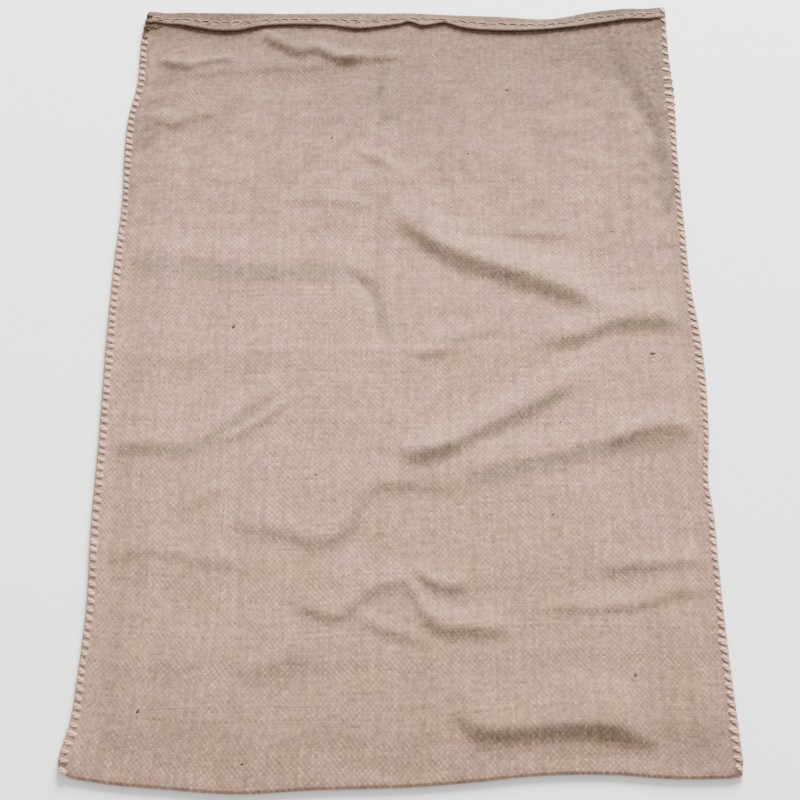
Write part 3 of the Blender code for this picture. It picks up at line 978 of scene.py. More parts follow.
class Place(NamedTuple):
    """Places on the sack seen from above, with how far each is from the edges."""

    x: np.ndarray
    y: np.ndarray
    from_side: np.ndarray
    from_foot: np.ndarray
    from_mouth: np.ndarray


def mouth_turn(x):
    """How far up the sack a layer ends, where its hem turns."""
    return smooth_line(HEM, x) - FOOT_INSET - 0.5 * HEM_STEP


def place_at(x, y):
    """The place at x and y, measured from the sides, the foot and the mouth."""
    left, right = rim(y)
    foot = smooth_line(FOOT_EDGE, x) + FOOT_INSET
    return Place(x, y, np.minimum(x - left, right - x), y - foot, mouth_turn(x) - y)


def place_on_cloth(across, up):
    """The place at shares of the width and of the length, before its corners are rounded."""
    x = (across - 0.5) * NOMINAL_WIDTH
    for _ in range(3):
        foot = smooth_line(FOOT_EDGE, x) + FOOT_INSET
        y = foot + up * (mouth_turn(x) - foot)
        left, right = rim(y)
        x = left + across * (right - left)
    return place_at(x, y)


def round_corners(place):
    """Draws the square corners of the foot in to quarter circles."""
    side_share = np.clip(1.0 - place.from_side / CORNER_RADIUS, 0.0, 1.0)
    foot_share = np.clip(1.0 - place.from_foot / CORNER_RADIUS, 0.0, 1.0)
    inward = side_share * (1.0 - np.sqrt(1.0 - 0.5 * foot_share**2)) * CORNER_RADIUS
    upward = foot_share * (1.0 - np.sqrt(1.0 - 0.5 * side_share**2)) * CORNER_RADIUS
    return place.x - np.sign(place.x) * inward, place.y + upward


def hem_depth(x):
    return line_of(HEM, "depth", x)


def hem_lift(x):
    return line_of(HEM, "lift", x)


def lower_height(place):
    """Middle of the lower layer, which the seams' twine and the hem under it hold up."""
    seam = 1.0 - smooth((place.from_side - FLAT_EDGE) / (SEAM_LIFT_END - FLAT_EDGE))
    seam = seam * smooth(place.from_foot / CORNER_RADIUS)
    hem = 1.0 - smooth((place.from_mouth - hem_depth(place.x) - HEM_MARGIN) / HEM_LIFT_RUN)
    return LOWER_MID_HEIGHT + SEAM_LIFT * seam + (HEM_STEP + BACK_HEM_LIFT) * hem


def upper_height(place):
    """Middle of the upper layer, from its edges up to the body and its folds."""
    at_foot = 1.0 - smooth(place.from_foot / FOOT_RISE)
    edge = lower_height(place) + SEAM_STEP + (FOOT_STEP - SEAM_STEP) * at_foot
    rise = smooth((place.from_side - FLAT_EDGE) / SIDE_RISE) * smooth(place.from_foot / FOOT_RISE)
    fade = smooth((place.from_side - FLAT_EDGE) / FOLD_FADE) * smooth(place.from_foot / FOLD_FADE)
    return edge + (BODY_MID_HEIGHT - edge) * rise + rumples(place.x, place.y) * fade


def cloth_points(across, station, layer):
    """Places in space on the middle of the sack's cloth.

    across is a share of the width. station runs from 0 at the foot's fold to 1 where the
    mouth turns, 2 where the hem has turned and 3 at the hem's free edge. layer is 1 on
    the upper layer and -1 on the lower one.
    """
    place = place_on_cloth(across, np.minimum(station, 1.0))
    turned = 0.5 - 0.5 * np.cos(math.pi * np.clip(station - 1.0, 0.0, 1.0))
    flap = np.clip(station - 2.0, 0.0, 1.0)
    run = flap * hem_depth(place.x)
    place = place._replace(
        y=place.y - run,
        from_foot=place.from_foot - run,
        from_mouth=place.from_mouth + run,
    )
    lower = lower_height(place)
    upper = upper_height(place)
    middle = 0.5 * (lower + upper)
    turn_share = 1.0 - np.clip(place.from_foot / (0.5 * FOOT_STEP), 0.0, 1.0)
    open_share = np.sqrt(1.0 - turn_share**2)
    own = np.where(layer > 0.0, upper, lower)
    z = middle + (own - middle) * open_share
    lift = hem_lift(place.x) * smooth((flap - HEM_LIFT_START) / (1.0 - HEM_LIFT_START)) * (layer > 0.0)
    z = z + layer * (HEM_STEP * turned) + lift
    x, y = round_corners(place)
    y = y + HEM_STEP * np.sqrt(turned * (1.0 - turned))
    return np.stack([x, y, z], axis=-1)


def layer_stations(body_rows):
    """Stations of one layer's rows, from the foot's fold to the hem's free edge."""
    fold_angle = np.linspace(0.0, 0.5 * math.pi, FOOT_TURN_ROWS + 1)
    fold = 0.5 * FOOT_STEP / NOMINAL_LENGTH * (1.0 - np.cos(fold_angle))
    body = np.linspace(fold[-1], 1.0, body_rows)
    turn = np.linspace(1.0, 2.0, TURN_ROWS + 1)
    hem = np.linspace(2.0, 3.0, HEM_ROWS + 1)
    return np.concatenate([fold[:-1], body, turn[1:], hem[1:]])


def cloth_metres(station):
    """How far along the cloth each station is from the foot's fold, in metres."""
    turn_length = 0.5 * math.pi * HEM_STEP
    hem = np.clip(station - 2.0, 0.0, 1.0) * NOMINAL_HEM
    return np.minimum(station, 1.0) * NOMINAL_LENGTH + np.clip(station - 1.0, 0.0, 1.0) * turn_length + hem


def cloth_darkening(points, station, layer, wear):
    """How dark the cloth is at each point, from 0 to 1, with grime and with painted shade: most in the
    painted shadow under the hem's edge.
    """
    x, y = points[:, 0], points[:, 1]
    on_body = (station <= 1.0) * (layer > 0.0)
    on_hem = (station > 1.0) * (layer > 0.0)
    edge = mouth_turn(x) - hem_depth(x)
    # Painted shadow: a dark line on the body just under the hem's free edge, the darker the further the hem
    # stands off the cloth.
    under = half_wave(np.abs(y - edge - UNDER_HEM_PLACE), UNDER_HEM_REACH) * on_body
    under = UNDER_HEM_SHADOW * under * np.clip(hem_lift(x) / SHADING_LIFT, 0.0, 1.0)
    # The hem's grime and painted shade: darkest at its rounded turn, where shade falls, and less towards its
    # free edge.
    hem_darkening = TURN_DARKENING - FLAP_DARKENING_DROP * np.clip(station - 2.0, 0.0, 1.0)
    hem_darkening = line_of(HEM_DARKENING, "hem", x) * hem_darkening * on_hem
    # Painted shadow, soft and wide, on the cloth below the hem's edge.
    below = line_of(HEM_DARKENING, "below", x) * half_wave(np.maximum(edge - y, 0.0), BELOW_HEM)
    # Grime that lies everywhere, with the painted shadow below the hem and the patches, some of them painted
    # shade.
    dirt_and_shade = USUAL_SOIL + below + sum(patch_darkening(patch, x, y) for patch in PATCHES)
    body_dark = np.clip(wear + dirt_and_shade, 0.0, MOST_DARKENED) * on_body
    return np.maximum(np.maximum(under, hem_darkening), body_dark) + USUAL_SOIL * (layer < 0.0)


def patch_darkening(patch, x, y):
    """The darkening that one patch adds, its rim drawn in and out unevenly."""
    turn = math.radians(patch.turn)
    across = ((x - patch.x) * math.cos(turn) + (y - patch.y) * math.sin(turn)) / patch.reach_x
    along = ((y - patch.y) * math.cos(turn) - (x - patch.x) * math.sin(turn)) / patch.reach_y
    rim_waves = uneven(x / RIM_SIZE[0], y / RIM_SIZE[1], RIM_SEED)
    distance = np.hypot(across, along) * (1.0 + RIM_UNEVENNESS * rim_waves)
    return patch.amount * half_wave(distance, 1.0)


def linked(name, data):
    """A new object of data, in the scene."""
    obj = bpy.data.objects.new(name, data)
    bpy.context.scene.collection.objects.link(obj)
    return obj


def new_piece(name, mesh, material, slot, *nodes):
    """Puts a finished mesh in the scene as a piece of the sack, which stands for nodes."""
    mesh.materials.clear()
    mesh.materials.append(material)
    mesh.shade_smooth()
    piece = linked(name, mesh)
    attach(piece, BODY)
    if nodes:
        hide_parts(*nodes)
    return piece


def mesh_of(bm, name):
    """The mesh of bm, which is freed."""
    mesh = bpy.data.meshes.new(name)
    bm.to_mesh(mesh)
    bm.free()
    return mesh


def evaluated_mesh(obj):
    """The mesh that an object's modifiers make. The object itself is removed."""
    graph = bpy.context.evaluated_depsgraph_get()
    mesh = bpy.data.meshes.new_from_object(obj.evaluated_get(graph))
    bpy.data.objects.remove(obj, do_unlink=True)
    return mesh


def unit_grid(columns, rows_up):
    """A flat grid, and where each of its points is across it and up it, from -0.5 to 0.5."""
    bm = bmesh.new()
    bmesh.ops.create_grid(bm, x_segments=columns, y_segments=rows_up, size=0.5)
    flat = np.array([vertex.co for vertex in bm.verts])
    return bm, flat[:, 0], flat[:, 1]


def cloth_surface():
    """The middle of the cloth as one open strip, from the back's hem to the front's."""
    upper = layer_stations(UPPER_ROWS)
    lower = layer_stations(LOWER_ROWS)
    stations = np.concatenate([lower[:0:-1], upper])
    layers = np.concatenate([-np.ones(len(lower) - 1), np.ones(len(upper))])
    last_row = len(stations) - 1
    bm, flat_x, flat_y = unit_grid(COLUMNS, last_row)
    column = np.rint((flat_x + 0.5) * COLUMNS).astype(int)
    row = np.rint((flat_y + 0.5) * last_row).astype(int)
    station = stations[row]
    layer = layers[row]
    inset = HEM_SIDE_INSET / NOMINAL_WIDTH * np.clip(station - 1.0, 0.0, 1.0)
    across = inset + column / COLUMNS * (1.0 - 2.0 * inset)
    points = cloth_points(across, station, layer)
    yarns = np.stack([across * NOMINAL_WIDTH, layer * cloth_metres(station)], axis=-1)
    # Painted shade in the steep sides of the folds, on the body of the upper layer.
    wear = shade_in_folds(points) * (station <= 1.0) * (layer > 0.0)
    soil = cloth_darkening(points, station, layer, wear)

    yarn_layer = bm.loops.layers.uv.new(YARN_MAP)
    darkening_layer = bm.verts.layers.float.new(DARKENING)
    fold_shade_layer = bm.verts.layers.float.new(FOLD_SHADING)
    for vertex, point, darkened, body_dark in zip(bm.verts, points, soil, wear):
        vertex.co = point
        vertex[darkening_layer] = darkened
        vertex[fold_shade_layer] = body_dark
    for face in bm.faces:
        for loop in face.loops:
            loop[yarn_layer].uv = yarns[loop.vert.index]
    return mesh_of(bm, "sack_cloth_surface")


def upper_top(x, y):
    """Places on the upper side of the upper layer."""
    z = upper_height(place_at(x, y)) + HALF_CLOTH
    return np.stack([x, y, z], axis=-1)


def upper_sheet():
    """The upper side of the upper layer as a coarse sheet, for what lies loose on it."""
    bm, flat_x, flat_y = unit_grid(*STREWN_GRID)
    up = 0.5 + flat_y * STREWN_LENGTH
    place = place_on_cloth(0.5 + flat_x * STREWN_WIDTH, up * STREWN_UP + STREWN_START)
    for vertex, point in zip(bm.verts, upper_top(place.x, place.y)):
        vertex.co = point
    return mesh_of(bm, "upper_sheet")


def unit(vectors):
    return vectors / np.linalg.norm(vectors, axis=-1, keepdims=True)


def twine_rings(path, wide_way, widths, heights, sides, closed=False):
    """Rings round a path, each widest in wide_way and square to the path."""
    path = np.asarray(path, dtype=float)
    if closed:
        ahead, behind = np.roll(path, -1, axis=0), np.roll(path, 1, axis=0)
    else:
        ahead, behind = np.vstack([path[1:], path[-1:]]), np.vstack([path[:1], path[:-1]])
    forward = unit(ahead - behind)
    wide_way = np.broadcast_to(np.asarray(wide_way, dtype=float), path.shape)
    wide = unit(wide_way - np.sum(wide_way * forward, axis=-1, keepdims=True) * forward)
    tall = np.cross(forward, wide)
    angle = 2.0 * math.pi * np.arange(sides) / sides
    half_width = 0.5 * np.broadcast_to(widths, len(path))[:, None, None]
    half_height = 0.5 * np.broadcast_to(heights, len(path))[:, None, None]
    return (
        path[:, None]
        + half_width * np.cos(angle)[None, :, None] * wide[:, None]
        + half_height * np.sin(angle)[None, :, None] * tall[:, None]
    )


def add_twine(bm, rings, rises=None, closed=False):
    """Joins rings to a closed skin. Its UV map is the way along the twine and round it."""
    yarn_layer = bm.loops.layers.uv.verify()
    rise_layer = bm.verts.layers.float.get(RISE) or bm.verts.layers.float.new(RISE)
    count, sides = rings.shape[:2]
    middle = rings.mean(axis=1)
    steps = np.linalg.norm(np.diff(middle, axis=0, append=middle[:1]), axis=1)
    run = np.concatenate([[0.0], np.cumsum(steps)])
    verts = [[bm.verts.new(point) for point in ring] for ring in rings]
    if rises is not None:
        for ring, rise in zip(verts, rises):
            for vertex in ring:
                vertex[rise_layer] = rise
    for ring in range(count if closed else count - 1):
        following = (ring + 1) % count
        for side in range(sides):
            after = (side + 1) % sides
            corners = (
                (verts[ring][side], run[ring], side),
                (verts[ring][after], run[ring], side + 1),
                (verts[following][after], run[ring + 1], side + 1),
                (verts[following][side], run[ring + 1], side),
            )
            face = bm.faces.new([corner[0] for corner in corners])
            for loop, (_, along, turn) in zip(face.loops, corners):
                loop[yarn_layer].uv = (along, turn / sides)
    if not closed:
        bm.faces.new(reversed(verts[0]))
        bm.faces.new(verts[-1])


def finished_mesh(bm, name):
    """The mesh of bm, its faces turned outwards."""
    bmesh.ops.recalc_face_normals(bm, faces=bm.faces)
    mesh = mesh_of(bm, name)
    mesh.uv_layers[0].name = YARN_MAP
    return mesh


def twine_mesh(name, rings, rises=None, closed=False):
    """A finished mesh of one length of twine."""
    bm = bmesh.new()
    add_twine(bm, rings, rises, closed)
    return finished_mesh(bm, name)


def whip_stitch():
    """One stitch over the right-hand edge, which lies at x 0 with the floor at z 0."""
    path = [(-ring.inset, ring.along, ring.height) for ring in WHIP_STITCH]
    widths = [ring.width for ring in WHIP_STITCH]
    heights = [ring.thickness for ring in WHIP_STITCH]
    rings = twine_rings(path, (0.0, 1.0, 0.0), widths, heights, TWINE_SIDES)
    return twine_mesh("whip_stitch", rings, [ring.rise for ring in WHIP_STITCH])


def chain_link(settings, up):
    """One link of the chain stitch along X. up is 1 on top of the sack, -1 below it."""
    angle = 2.0 * math.pi * np.arange(LINK_RINGS) / LINK_RINGS
    length = 0.5 * (settings.chain_pitch + LINK_OVERLAP)
    x = length * np.cos(angle)
    narrow = LINK_WIDEST - LINK_NARROWS * np.cos(angle)
    y = 0.5 * settings.chain_width * np.sin(angle) * narrow
    thickness = FRONT_CHAIN_FLATNESS * settings.chain_twine if up > 0.0 else BACK_CHAIN_THICKNESS
    rise = LINK_LOW + LINK_RISE * smooth(0.5 + LINK_RISE_RUN * np.cos(angle))
    z = rise * thickness * (up > 0.0)
    outward = np.stack([np.cos(angle), LINK_SPLAY * np.sin(angle), np.zeros(LINK_RINGS)], axis=-1)
    path = np.stack([x, y, z], axis=-1)
    rings = twine_rings(path, outward, settings.chain_twine, thickness, TWINE_SIDES, closed=True)
    return twine_mesh("chain_link", rings, closed=True)


def fleck():
    """One dark scrap of bark, a millimetre long."""
    widths = MILLIMETRE * np.array(FLECK_WIDTHS)
    path = MILLIMETRE * np.array(FLECK_PATH)
    return twine_mesh("fleck", twine_rings(path, (0.0, 1.0, 0.0), widths, 0.5 * widths, FLECK_SIDES))


def fibre():
    """One loose fibre that lies in a low arch on the cloth."""
    share = np.linspace(0.0, 1.0, FIBRE_POINTS)
    x = FIBRE_LENGTH * (share - 0.5)
    y = FIBRE_SWAY * np.sin(FIBRE_BENDS * math.pi * share)
    z = FIBRE_ARCH * np.sin(math.pi * share) - FIBRE_SINK
    thick = np.sin(math.pi * np.clip(share, FIBRE_TIP_SHARE, 1.0 - FIBRE_TIP_SHARE))
    widths = FIBRE_WIDTH * (FIBRE_TIP + (1.0 - FIBRE_TIP) * thick)
    path = np.stack([x, y, z], axis=-1)
    return twine_mesh("fibre", twine_rings(path, (0.0, 1.0, 0.0), widths, widths, FIBRE_SIDES))


def points_mesh(name, points, **attributes):
    """A mesh of loose points, with a value of each attribute for every point."""
    mesh = bpy.data.meshes.new(name)
    mesh.from_pydata([tuple(point) for point in points], [], [])
    for label, values in attributes.items():
        values = np.broadcast_to(np.asarray(values, dtype=np.float32), len(points))
        layer = mesh.attributes.new(label, "FLOAT", "POINT")
        layer.data.foreach_set("value", np.ascontiguousarray(values))
    return mesh


def lift_with_layers(mesh):
    """Raises each stitch with the layers of cloth that it goes over."""
    count = len(mesh.vertices)
    place = np.empty(3 * count, dtype=np.float32)
    mesh.vertices.foreach_get("co", place)
    rise, stack = np.empty(count, dtype=np.float32), np.empty(count, dtype=np.float32)
    mesh.attributes[RISE].data.foreach_get("value", rise)
    mesh.attributes[STACK].data.foreach_get("value", stack)
    place[2::3] += rise * stack
    mesh.vertices.foreach_set("co", place)
    mesh.update()


def side_points(side, label, settings):
    """Where the stitches of one side go, with how each is turned, sized, raised and stained."""
    rng = np.random.default_rng(settings.seed + (side > 0))
    edge_x = 0.5 * side * NOMINAL_WIDTH
    y = smooth_line(FOOT_EDGE, edge_x) + 0.5 * CORNER_RADIUS
    last = smooth_line(HEM, edge_x) - SIDE_STOP
    ways = []
    while y < last:
        ways.append(y)
        y = y + line_of(SEWING, label, y)
    ways = np.array(ways)
    ways = ways + rng.uniform(-1.0, 1.0, len(ways)) * settings.unevenness * PLACE_UNEVENNESS * settings.pitch
    left, right = rim(ways)
    edge = left if side < 0 else right
    place = place_at(edge - side * 0.5 * settings.reach, ways)
    on_hem = 1.0 - smooth((place.from_mouth - hem_depth(place.x) + ON_HEM_START) / ON_HEM_RUN)
    top = upper_height(place) + HALF_CLOTH + ON_HEM_STEPS * HEM_STEP * on_hem
    corner = round_corners(place_at(edge, ways))[0]
    points = np.stack([corner, ways, np.zeros(len(ways))], axis=-1)
    rusted = 0.5 - 0.5 * np.cos(math.pi * np.clip((ways - RUST_START) / RUST_RUN, 0.0, 1.0))
    values = {
        HEADING: (math.pi if side < 0 else 0.0) - np.radians(line_of(REACHES, f"{label}_lean", ways)),
        SIZE: 1.0,
        REACH: line_of(REACHES, label, ways) / WHIP_LENGTH,
        STACK: top - USUAL_TOP,
        STAIN: rusted * (side < 0),
    }
    return points_mesh("places", points, **values)


def add_node(tree, kind, inputs=None, **settings):
    """Adds a node, with its settings, and with values or links given for its inputs."""
    node = tree.nodes.new(kind)
    for name, value in settings.items():
        setattr(node, name, value)
    for socket, value in (inputs or {}).items():
        if isinstance(value, bpy.types.NodeSocket):
            tree.links.new(value, node.inputs[socket])
        else:
            node.inputs[socket].default_value = value
    return node


def calc(tree, operation, *values):
    """The result of a Math node."""
    return add_node(tree, "ShaderNodeMath", dict(enumerate(values)), operation=operation).outputs[0]


def product(tree, first, *others):
    """All the values multiplied together."""
    for other in others:
        first = calc(tree, "MULTIPLY", first, other)
    return first


def half_turns(tree, value):
    """The cosine of a number of half turns: 1 at 0 and -1 at 1."""
    return calc(tree, "COSINE", calc(tree, "MULTIPLY", value, math.pi))


def vector(tree, x=0.0, y=0.0, z=0.0):
    return add_node(tree, "ShaderNodeCombineXYZ", {"X": x, "Y": y, "Z": z}).outputs[0]


def noise(tree, place, scale, detail=2.0, roughness=0.5):
    """Noise from 0 to 1 at a place given in metres, with scale in bumps a metre."""
    inputs = {"Vector": place, "Scale": scale, "Detail": detail, "Roughness": roughness}
    return add_node(tree, "ShaderNodeTexNoise", inputs).outputs["Fac"]


def random_of(tree, x, y=0.0):
    """A random value from 0 to 1 for each pair of whole numbers."""
    node = add_node(tree, "ShaderNodeTexWhiteNoise", {"Vector": vector(tree, x, y)}, noise_dimensions="2D")
    return node.outputs["Value"]


def span(tree, value, low, high, new_low, new_high):
    """value carried from one range to another, and held inside it."""
    inputs = {"Value": value, "From Min": low, "From Max": high, "To Min": new_low, "To Max": new_high}
    return add_node(tree, "ShaderNodeMapRange", inputs).outputs[0]


def mix_color(tree, share, first, second):
    node = add_node(tree, "ShaderNodeMix", {"Factor": share}, data_type="RGBA")
    for name, value in (("A_Color", first), ("B_Color", second)):
        socket = next(item for item in node.inputs if item.identifier == name)
        if isinstance(value, bpy.types.NodeSocket):
            tree.links.new(value, socket)
        else:
            socket.default_value = value
    return next(item for item in node.outputs if item.identifier == "Result_Color")


def mix_value(tree, share, first, second):
    return add_node(tree, "ShaderNodeMix", {"Factor": share, "A": first, "B": second}).outputs[0]


def scaled_vector(tree, value, scale):
    node = add_node(tree, "ShaderNodeVectorMath", {0: value, "Scale": scale}, operation="SCALE")
    return node.outputs[0]


def moved_by(tree, place, move, operation="ADD"):
    """A vector with another added to it, or multiplied by it."""
    return add_node(tree, "ShaderNodeVectorMath", {0: place, 1: move}, operation=operation).outputs[0]


def wander(tree, place, scale, reach):
    """A smooth random move of up to about half of reach, which is given in metres."""
    moved = add_node(tree, "ShaderNodeTexNoise", {"Vector": place, "Scale": scale, "Detail": 1.0})
    return scaled_vector(tree, moved_by(tree, moved.outputs["Color"], (-0.5, -0.5, -0.5)), reach)


def rgba(color):
    return (*color, 1.0)


def new_material(name, finish):
    """A material with its tree and its shader, whose finish is set on its own sockets."""
    material = bpy.data.materials.new(name)
    material.use_nodes = True
    tree = material.node_tree
    shader = tree.nodes["Principled BSDF"]
    for socket, value in finish.items():
        shader.inputs[socket].default_value = value
    return material, tree, shader


def paint(tree, shader, color, height, strength, distance):
    """Gives a shader its colour and its bump."""
    tree.links.new(color, shader.inputs["Base Color"])
    bump = add_node(tree, "ShaderNodeBump", {"Strength": strength, "Distance": distance, "Height": height})
    tree.links.new(bump.outputs[0], shader.inputs["Normal"])


def attribute(tree, name):
    return add_node(tree, "ShaderNodeAttribute", attribute_name=name).outputs["Fac"]


def yarn_height(tree, across, wave, width):
    """Height of one set of yarns, from how far across a yarn a point is."""
    part = calc(tree, "DIVIDE", across, width)
    inside = calc(tree, "MAXIMUM", calc(tree, "SUBTRACT", 1.0, calc(tree, "MULTIPLY", part, part)), 0.0)
    lifted = calc(tree, "MULTIPLY_ADD", wave, 0.5, 0.5)
    lifted = calc(tree, "MULTIPLY_ADD", lifted, 1.0 - UNDER_HEIGHT, UNDER_HEIGHT)
    return calc(tree, "MULTIPLY", calc(tree, "SQRT", inside), lifted)


class Yarn(NamedTuple):
    """Sockets for one set of yarns at a point: its chance shade, how thick it is, its height."""

    chance: bpy.types.NodeSocket
    thick: bpy.types.NodeSocket
    height: bpy.types.NodeSocket


def yarn(tree, number, seed, thick_place, across, along, over):
    """The yarn of one set at a point, by its number and the place in its crossing."""
    thick = noise(tree, thick_place, *YARN_NOISE)
    width = span(tree, thick, *YARN_WIDTHS)
    slanted = calc(tree, "MULTIPLY_ADD", along, YARN_SLANT, across)
    wave = calc(tree, "MULTIPLY", over, half_turns(tree, along))
    return Yarn(random_of(tree, number, seed), thick, yarn_height(tree, slanted, wave, width))


def hessian(settings):
    """Plain-woven jute: uneven slanted yarns, gaps darkened as painted shade, blotches, painted light and
    shade on the crossings, and grime and painted shade in the folds and at the hem.
    """
    material, tree, shader = new_material("Hessian", CLOTH_FINISH)
    place = add_node(tree, "ShaderNodeUVMap", uv_map=YARN_MAP).outputs[0]
    moved = place
    for scale, reach in YARN_SWAYS:
        moved = moved_by(tree, moved, wander(tree, place, scale, reach))
    split = add_node(tree, "ShaderNodeSeparateXYZ", {0: moved}).outputs
    across = calc(tree, "DIVIDE", split["X"], settings.warp_pitch)
    along = calc(tree, "DIVIDE", split["Y"], settings.weft_pitch)

    # Which yarns cross here, where in the crossing the point is, and which yarn is over.
    warp_number = calc(tree, "FLOOR", across)
    weft_number = calc(tree, "FLOOR", along)
    in_warp = calc(tree, "SUBTRACT", calc(tree, "FRACT", across), 0.5)
    in_weft = calc(tree, "SUBTRACT", calc(tree, "FRACT", along), 0.5)
    odd = calc(tree, "FLOORED_MODULO", calc(tree, "ADD", warp_number, weft_number), 2.0)
    over = calc(tree, "MULTIPLY_ADD", odd, -2.0, 1.0)
    under = calc(tree, "MULTIPLY", over, -1.0)
    which_warp = calc(tree, "MULTIPLY", warp_number, YARN_TO_WARP_YARN)
    which_weft = calc(tree, "MULTIPLY", weft_number, YARN_TO_WEFT_YARN)
    warp_place = vector(tree, which_warp, calc(tree, "MULTIPLY", along, ALONG_WARP_YARN))
    weft_place = vector(tree, calc(tree, "MULTIPLY", across, ALONG_WEFT_YARN), which_weft, WEFT_PLANE)
    warp = yarn(tree, warp_number, WARP_SEED, warp_place, in_warp, in_weft, over)
    weft = yarn(tree, weft_number, WEFT_SEED, weft_place, in_weft, in_warp, under)
    weft_height = calc(tree, "MULTIPLY", weft.height, WEFT_HEIGHT)
    height = calc(tree, "MAXIMUM", warp.height, weft_height)
    warp_on_top = calc(tree, "GREATER_THAN", warp.height, weft_height)

    # Each of these differs from 0 to 1, and the light with it by a share around 1.
    warp_pair = calc(tree, "FLOORED_MODULO", warp_number, 2.0)
    weft_pair = calc(tree, "FLOORED_MODULO", weft_number, 2.0)
    shades = [
        (mix_value(tree, warp_on_top, weft.chance, warp.chance), YARN_SHADE),
        (mix_value(tree, warp_on_top, weft.thick, warp.thick), THICK_SHADE),
        (mix_value(tree, warp_on_top, weft_pair, warp_pair), PAIR_SHADE),
        (random_of(tree, warp_number, weft_number), CELL_SHADE),
    ]
    grains = [noise(tree, place, grain.scale, grain.detail, grain.roughness) for grain in GRAINS]
    shades += [(value, grain.shade) for value, grain in zip(grains, GRAINS)]
    # Painted light and shade: warp yarns on top lighter, weft yarns on top darker.
    light = mix_value(tree, warp_on_top, WEFT_PAINTED_SHADE, WARP_PAINTED_LIGHT)
    for value, amount in shades:
        light = calc(tree, "MULTIPLY", light, calc(tree, "MULTIPLY_ADD", value, amount, 1.0 - 0.5 * amount))

    # Painted light and shade: the crossings show as a fine check, lighter where the warp is over and darker
    # where the weft is, and now and then the gaps between them as another, a leaning painted highlight of the
    # yarns' twist.
    crossing = product(tree, over, product(tree, half_turns(tree, in_warp), half_turns(tree, in_weft)))
    light = product(tree, light, calc(tree, "MULTIPLY_ADD", crossing, CHECK_PAINTED_LIGHT, 1.0))
    between = product(tree, half_turns(tree, across), half_turns(tree, along))
    lean = span(tree, noise(tree, place, *LEAN_NOISE), *LEAN_RANGE)
    light = product(tree, light, calc(tree, "ADD", product(tree, lean, between), 1.0))

    yellow = span(tree, noise(tree, place, *YELLOW_NOISE), *YELLOW_RANGE)
    jute = mix_color(tree, yellow, rgba(settings.color), rgba(settings.warm_color))
    # Painted shade in the gaps between the yarns and on their low sides.
    jute = mix_color(tree, span(tree, height, *GAP_RANGE), rgba(settings.gap_shade_color), jute)
    # The folds' painted shade tints the jute greyer.
    shade_tinted = span(tree, attribute(tree, FOLD_SHADING), *SHADE_TINT_RANGE)
    jute = mix_color(tree, shade_tinted, jute, moved_by(tree, jute, SHADE_TINT, "MULTIPLY"))
    # Grime and painted shade darken the jute towards their colour, in uneven patches.
    patchy = span(tree, noise(tree, place, *DARKENING_NOISE), *DARKENING_RANGE)
    soil = calc(tree, "MULTIPLY", attribute(tree, DARKENING), patchy)
    darkened = mix_color(tree, soil, scaled_vector(tree, jute, light), rgba(settings.soil_and_shade_color))
    fuzz, tufts = grains[:2]
    raised = calc(tree, "MULTIPLY_ADD", tufts, TUFT_BUMP, height)
    raised = calc(tree, "MULTIPLY_ADD", fuzz, FUZZ_BUMP, raised)
    paint(tree, shader, darkened, raised, BUMP_STRENGTH, settings.relief)
    return material


def twine(name, color, stained_color):
    """Thick jute twine, its plies twisted round each other with painted shade in the grooves between them, of
    another colour where stained.
    """
    material, tree, shader = new_material(name, TWINE_FINISH)
    place = add_node(tree, "ShaderNodeUVMap", uv_map=YARN_MAP).outputs[0]
    split = add_node(tree, "ShaderNodeSeparateXYZ", {0: place}).outputs
    turns = calc(tree, "MULTIPLY", split["Y"], PLY_COUNT)
    turns = calc(tree, "MULTIPLY_ADD", split["X"], PLY_TURNS, turns)
    ply = calc(tree, "ABSOLUTE", calc(tree, "SINE", calc(tree, "MULTIPLY", turns, math.pi)))
    solid = add_node(tree, "ShaderNodeTexCoord").outputs["Object"]
    fibres = noise(tree, solid, *TWINE_NOISE)
    light = calc(tree, "MULTIPLY_ADD", ply, *PLY_LIGHT)
    for value, amounts in ((fibres, TWINE_NOISE_LIGHT), (attribute(tree, TINT), TWINE_TINT_LIGHT)):
        light = calc(tree, "MULTIPLY", light, calc(tree, "MULTIPLY_ADD", value, *amounts))
    color = mix_color(tree, attribute(tree, STAIN), rgba(color), rgba(stained_color))
    raised = calc(tree, "MULTIPLY_ADD", fibres, TWINE_NOISE_BUMP, ply)
    paint(tree, shader, scaled_vector(tree, color, light), raised, *TWINE_BUMP)
    return material


def scraps(name, dark, pale):
    """Bark or loose fibre: a colour between two, for each piece and along it."""
    material, tree, shader = new_material(name, SCRAP_FINISH)
    solid = add_node(tree, "ShaderNodeTexCoord").outputs["Object"]
    along = calc(tree, "MULTIPLY", noise(tree, solid, *SCRAP_NOISE), 1.0 - TINT_SHARE)
    share = calc(tree, "MULTIPLY_ADD", attribute(tree, TINT), TINT_SHARE, along)
    color = mix_color(tree, share, rgba(dark), rgba(pale))
    paint(tree, shader, color, noise(tree, solid, *SCRAP_GRAIN), *SCRAP_BUMP)
    return material


def new_node_group(name, own_input, own_value):
    """A geometry node tree that places a piece, with one input of its own and the usual ones."""
    tree = bpy.data.node_groups.new(name, "GeometryNodeTree")
    sockets = (
        ("Geometry", "Geometry", None),
        ("Piece", "Object", None),
        (own_input, "Float", own_value),
        ("Smallest", "Vector", (0.9, 0.9, 0.9)),
        ("Largest", "Vector", (1.1, 1.1, 1.1)),
        ("Seed", "Int", 0),
        ("Material", "Material", None),
    )
    for label, kind, value in sockets:
        socket = tree.interface.new_socket(label, in_out="INPUT", socket_type="NodeSocket" + kind)
        if value is not None:
            socket.default_value = value
    tree.interface.new_socket("Geometry", in_out="OUTPUT", socket_type="NodeSocketGeometry")
    return tree, add_node(tree, "NodeGroupInput").outputs


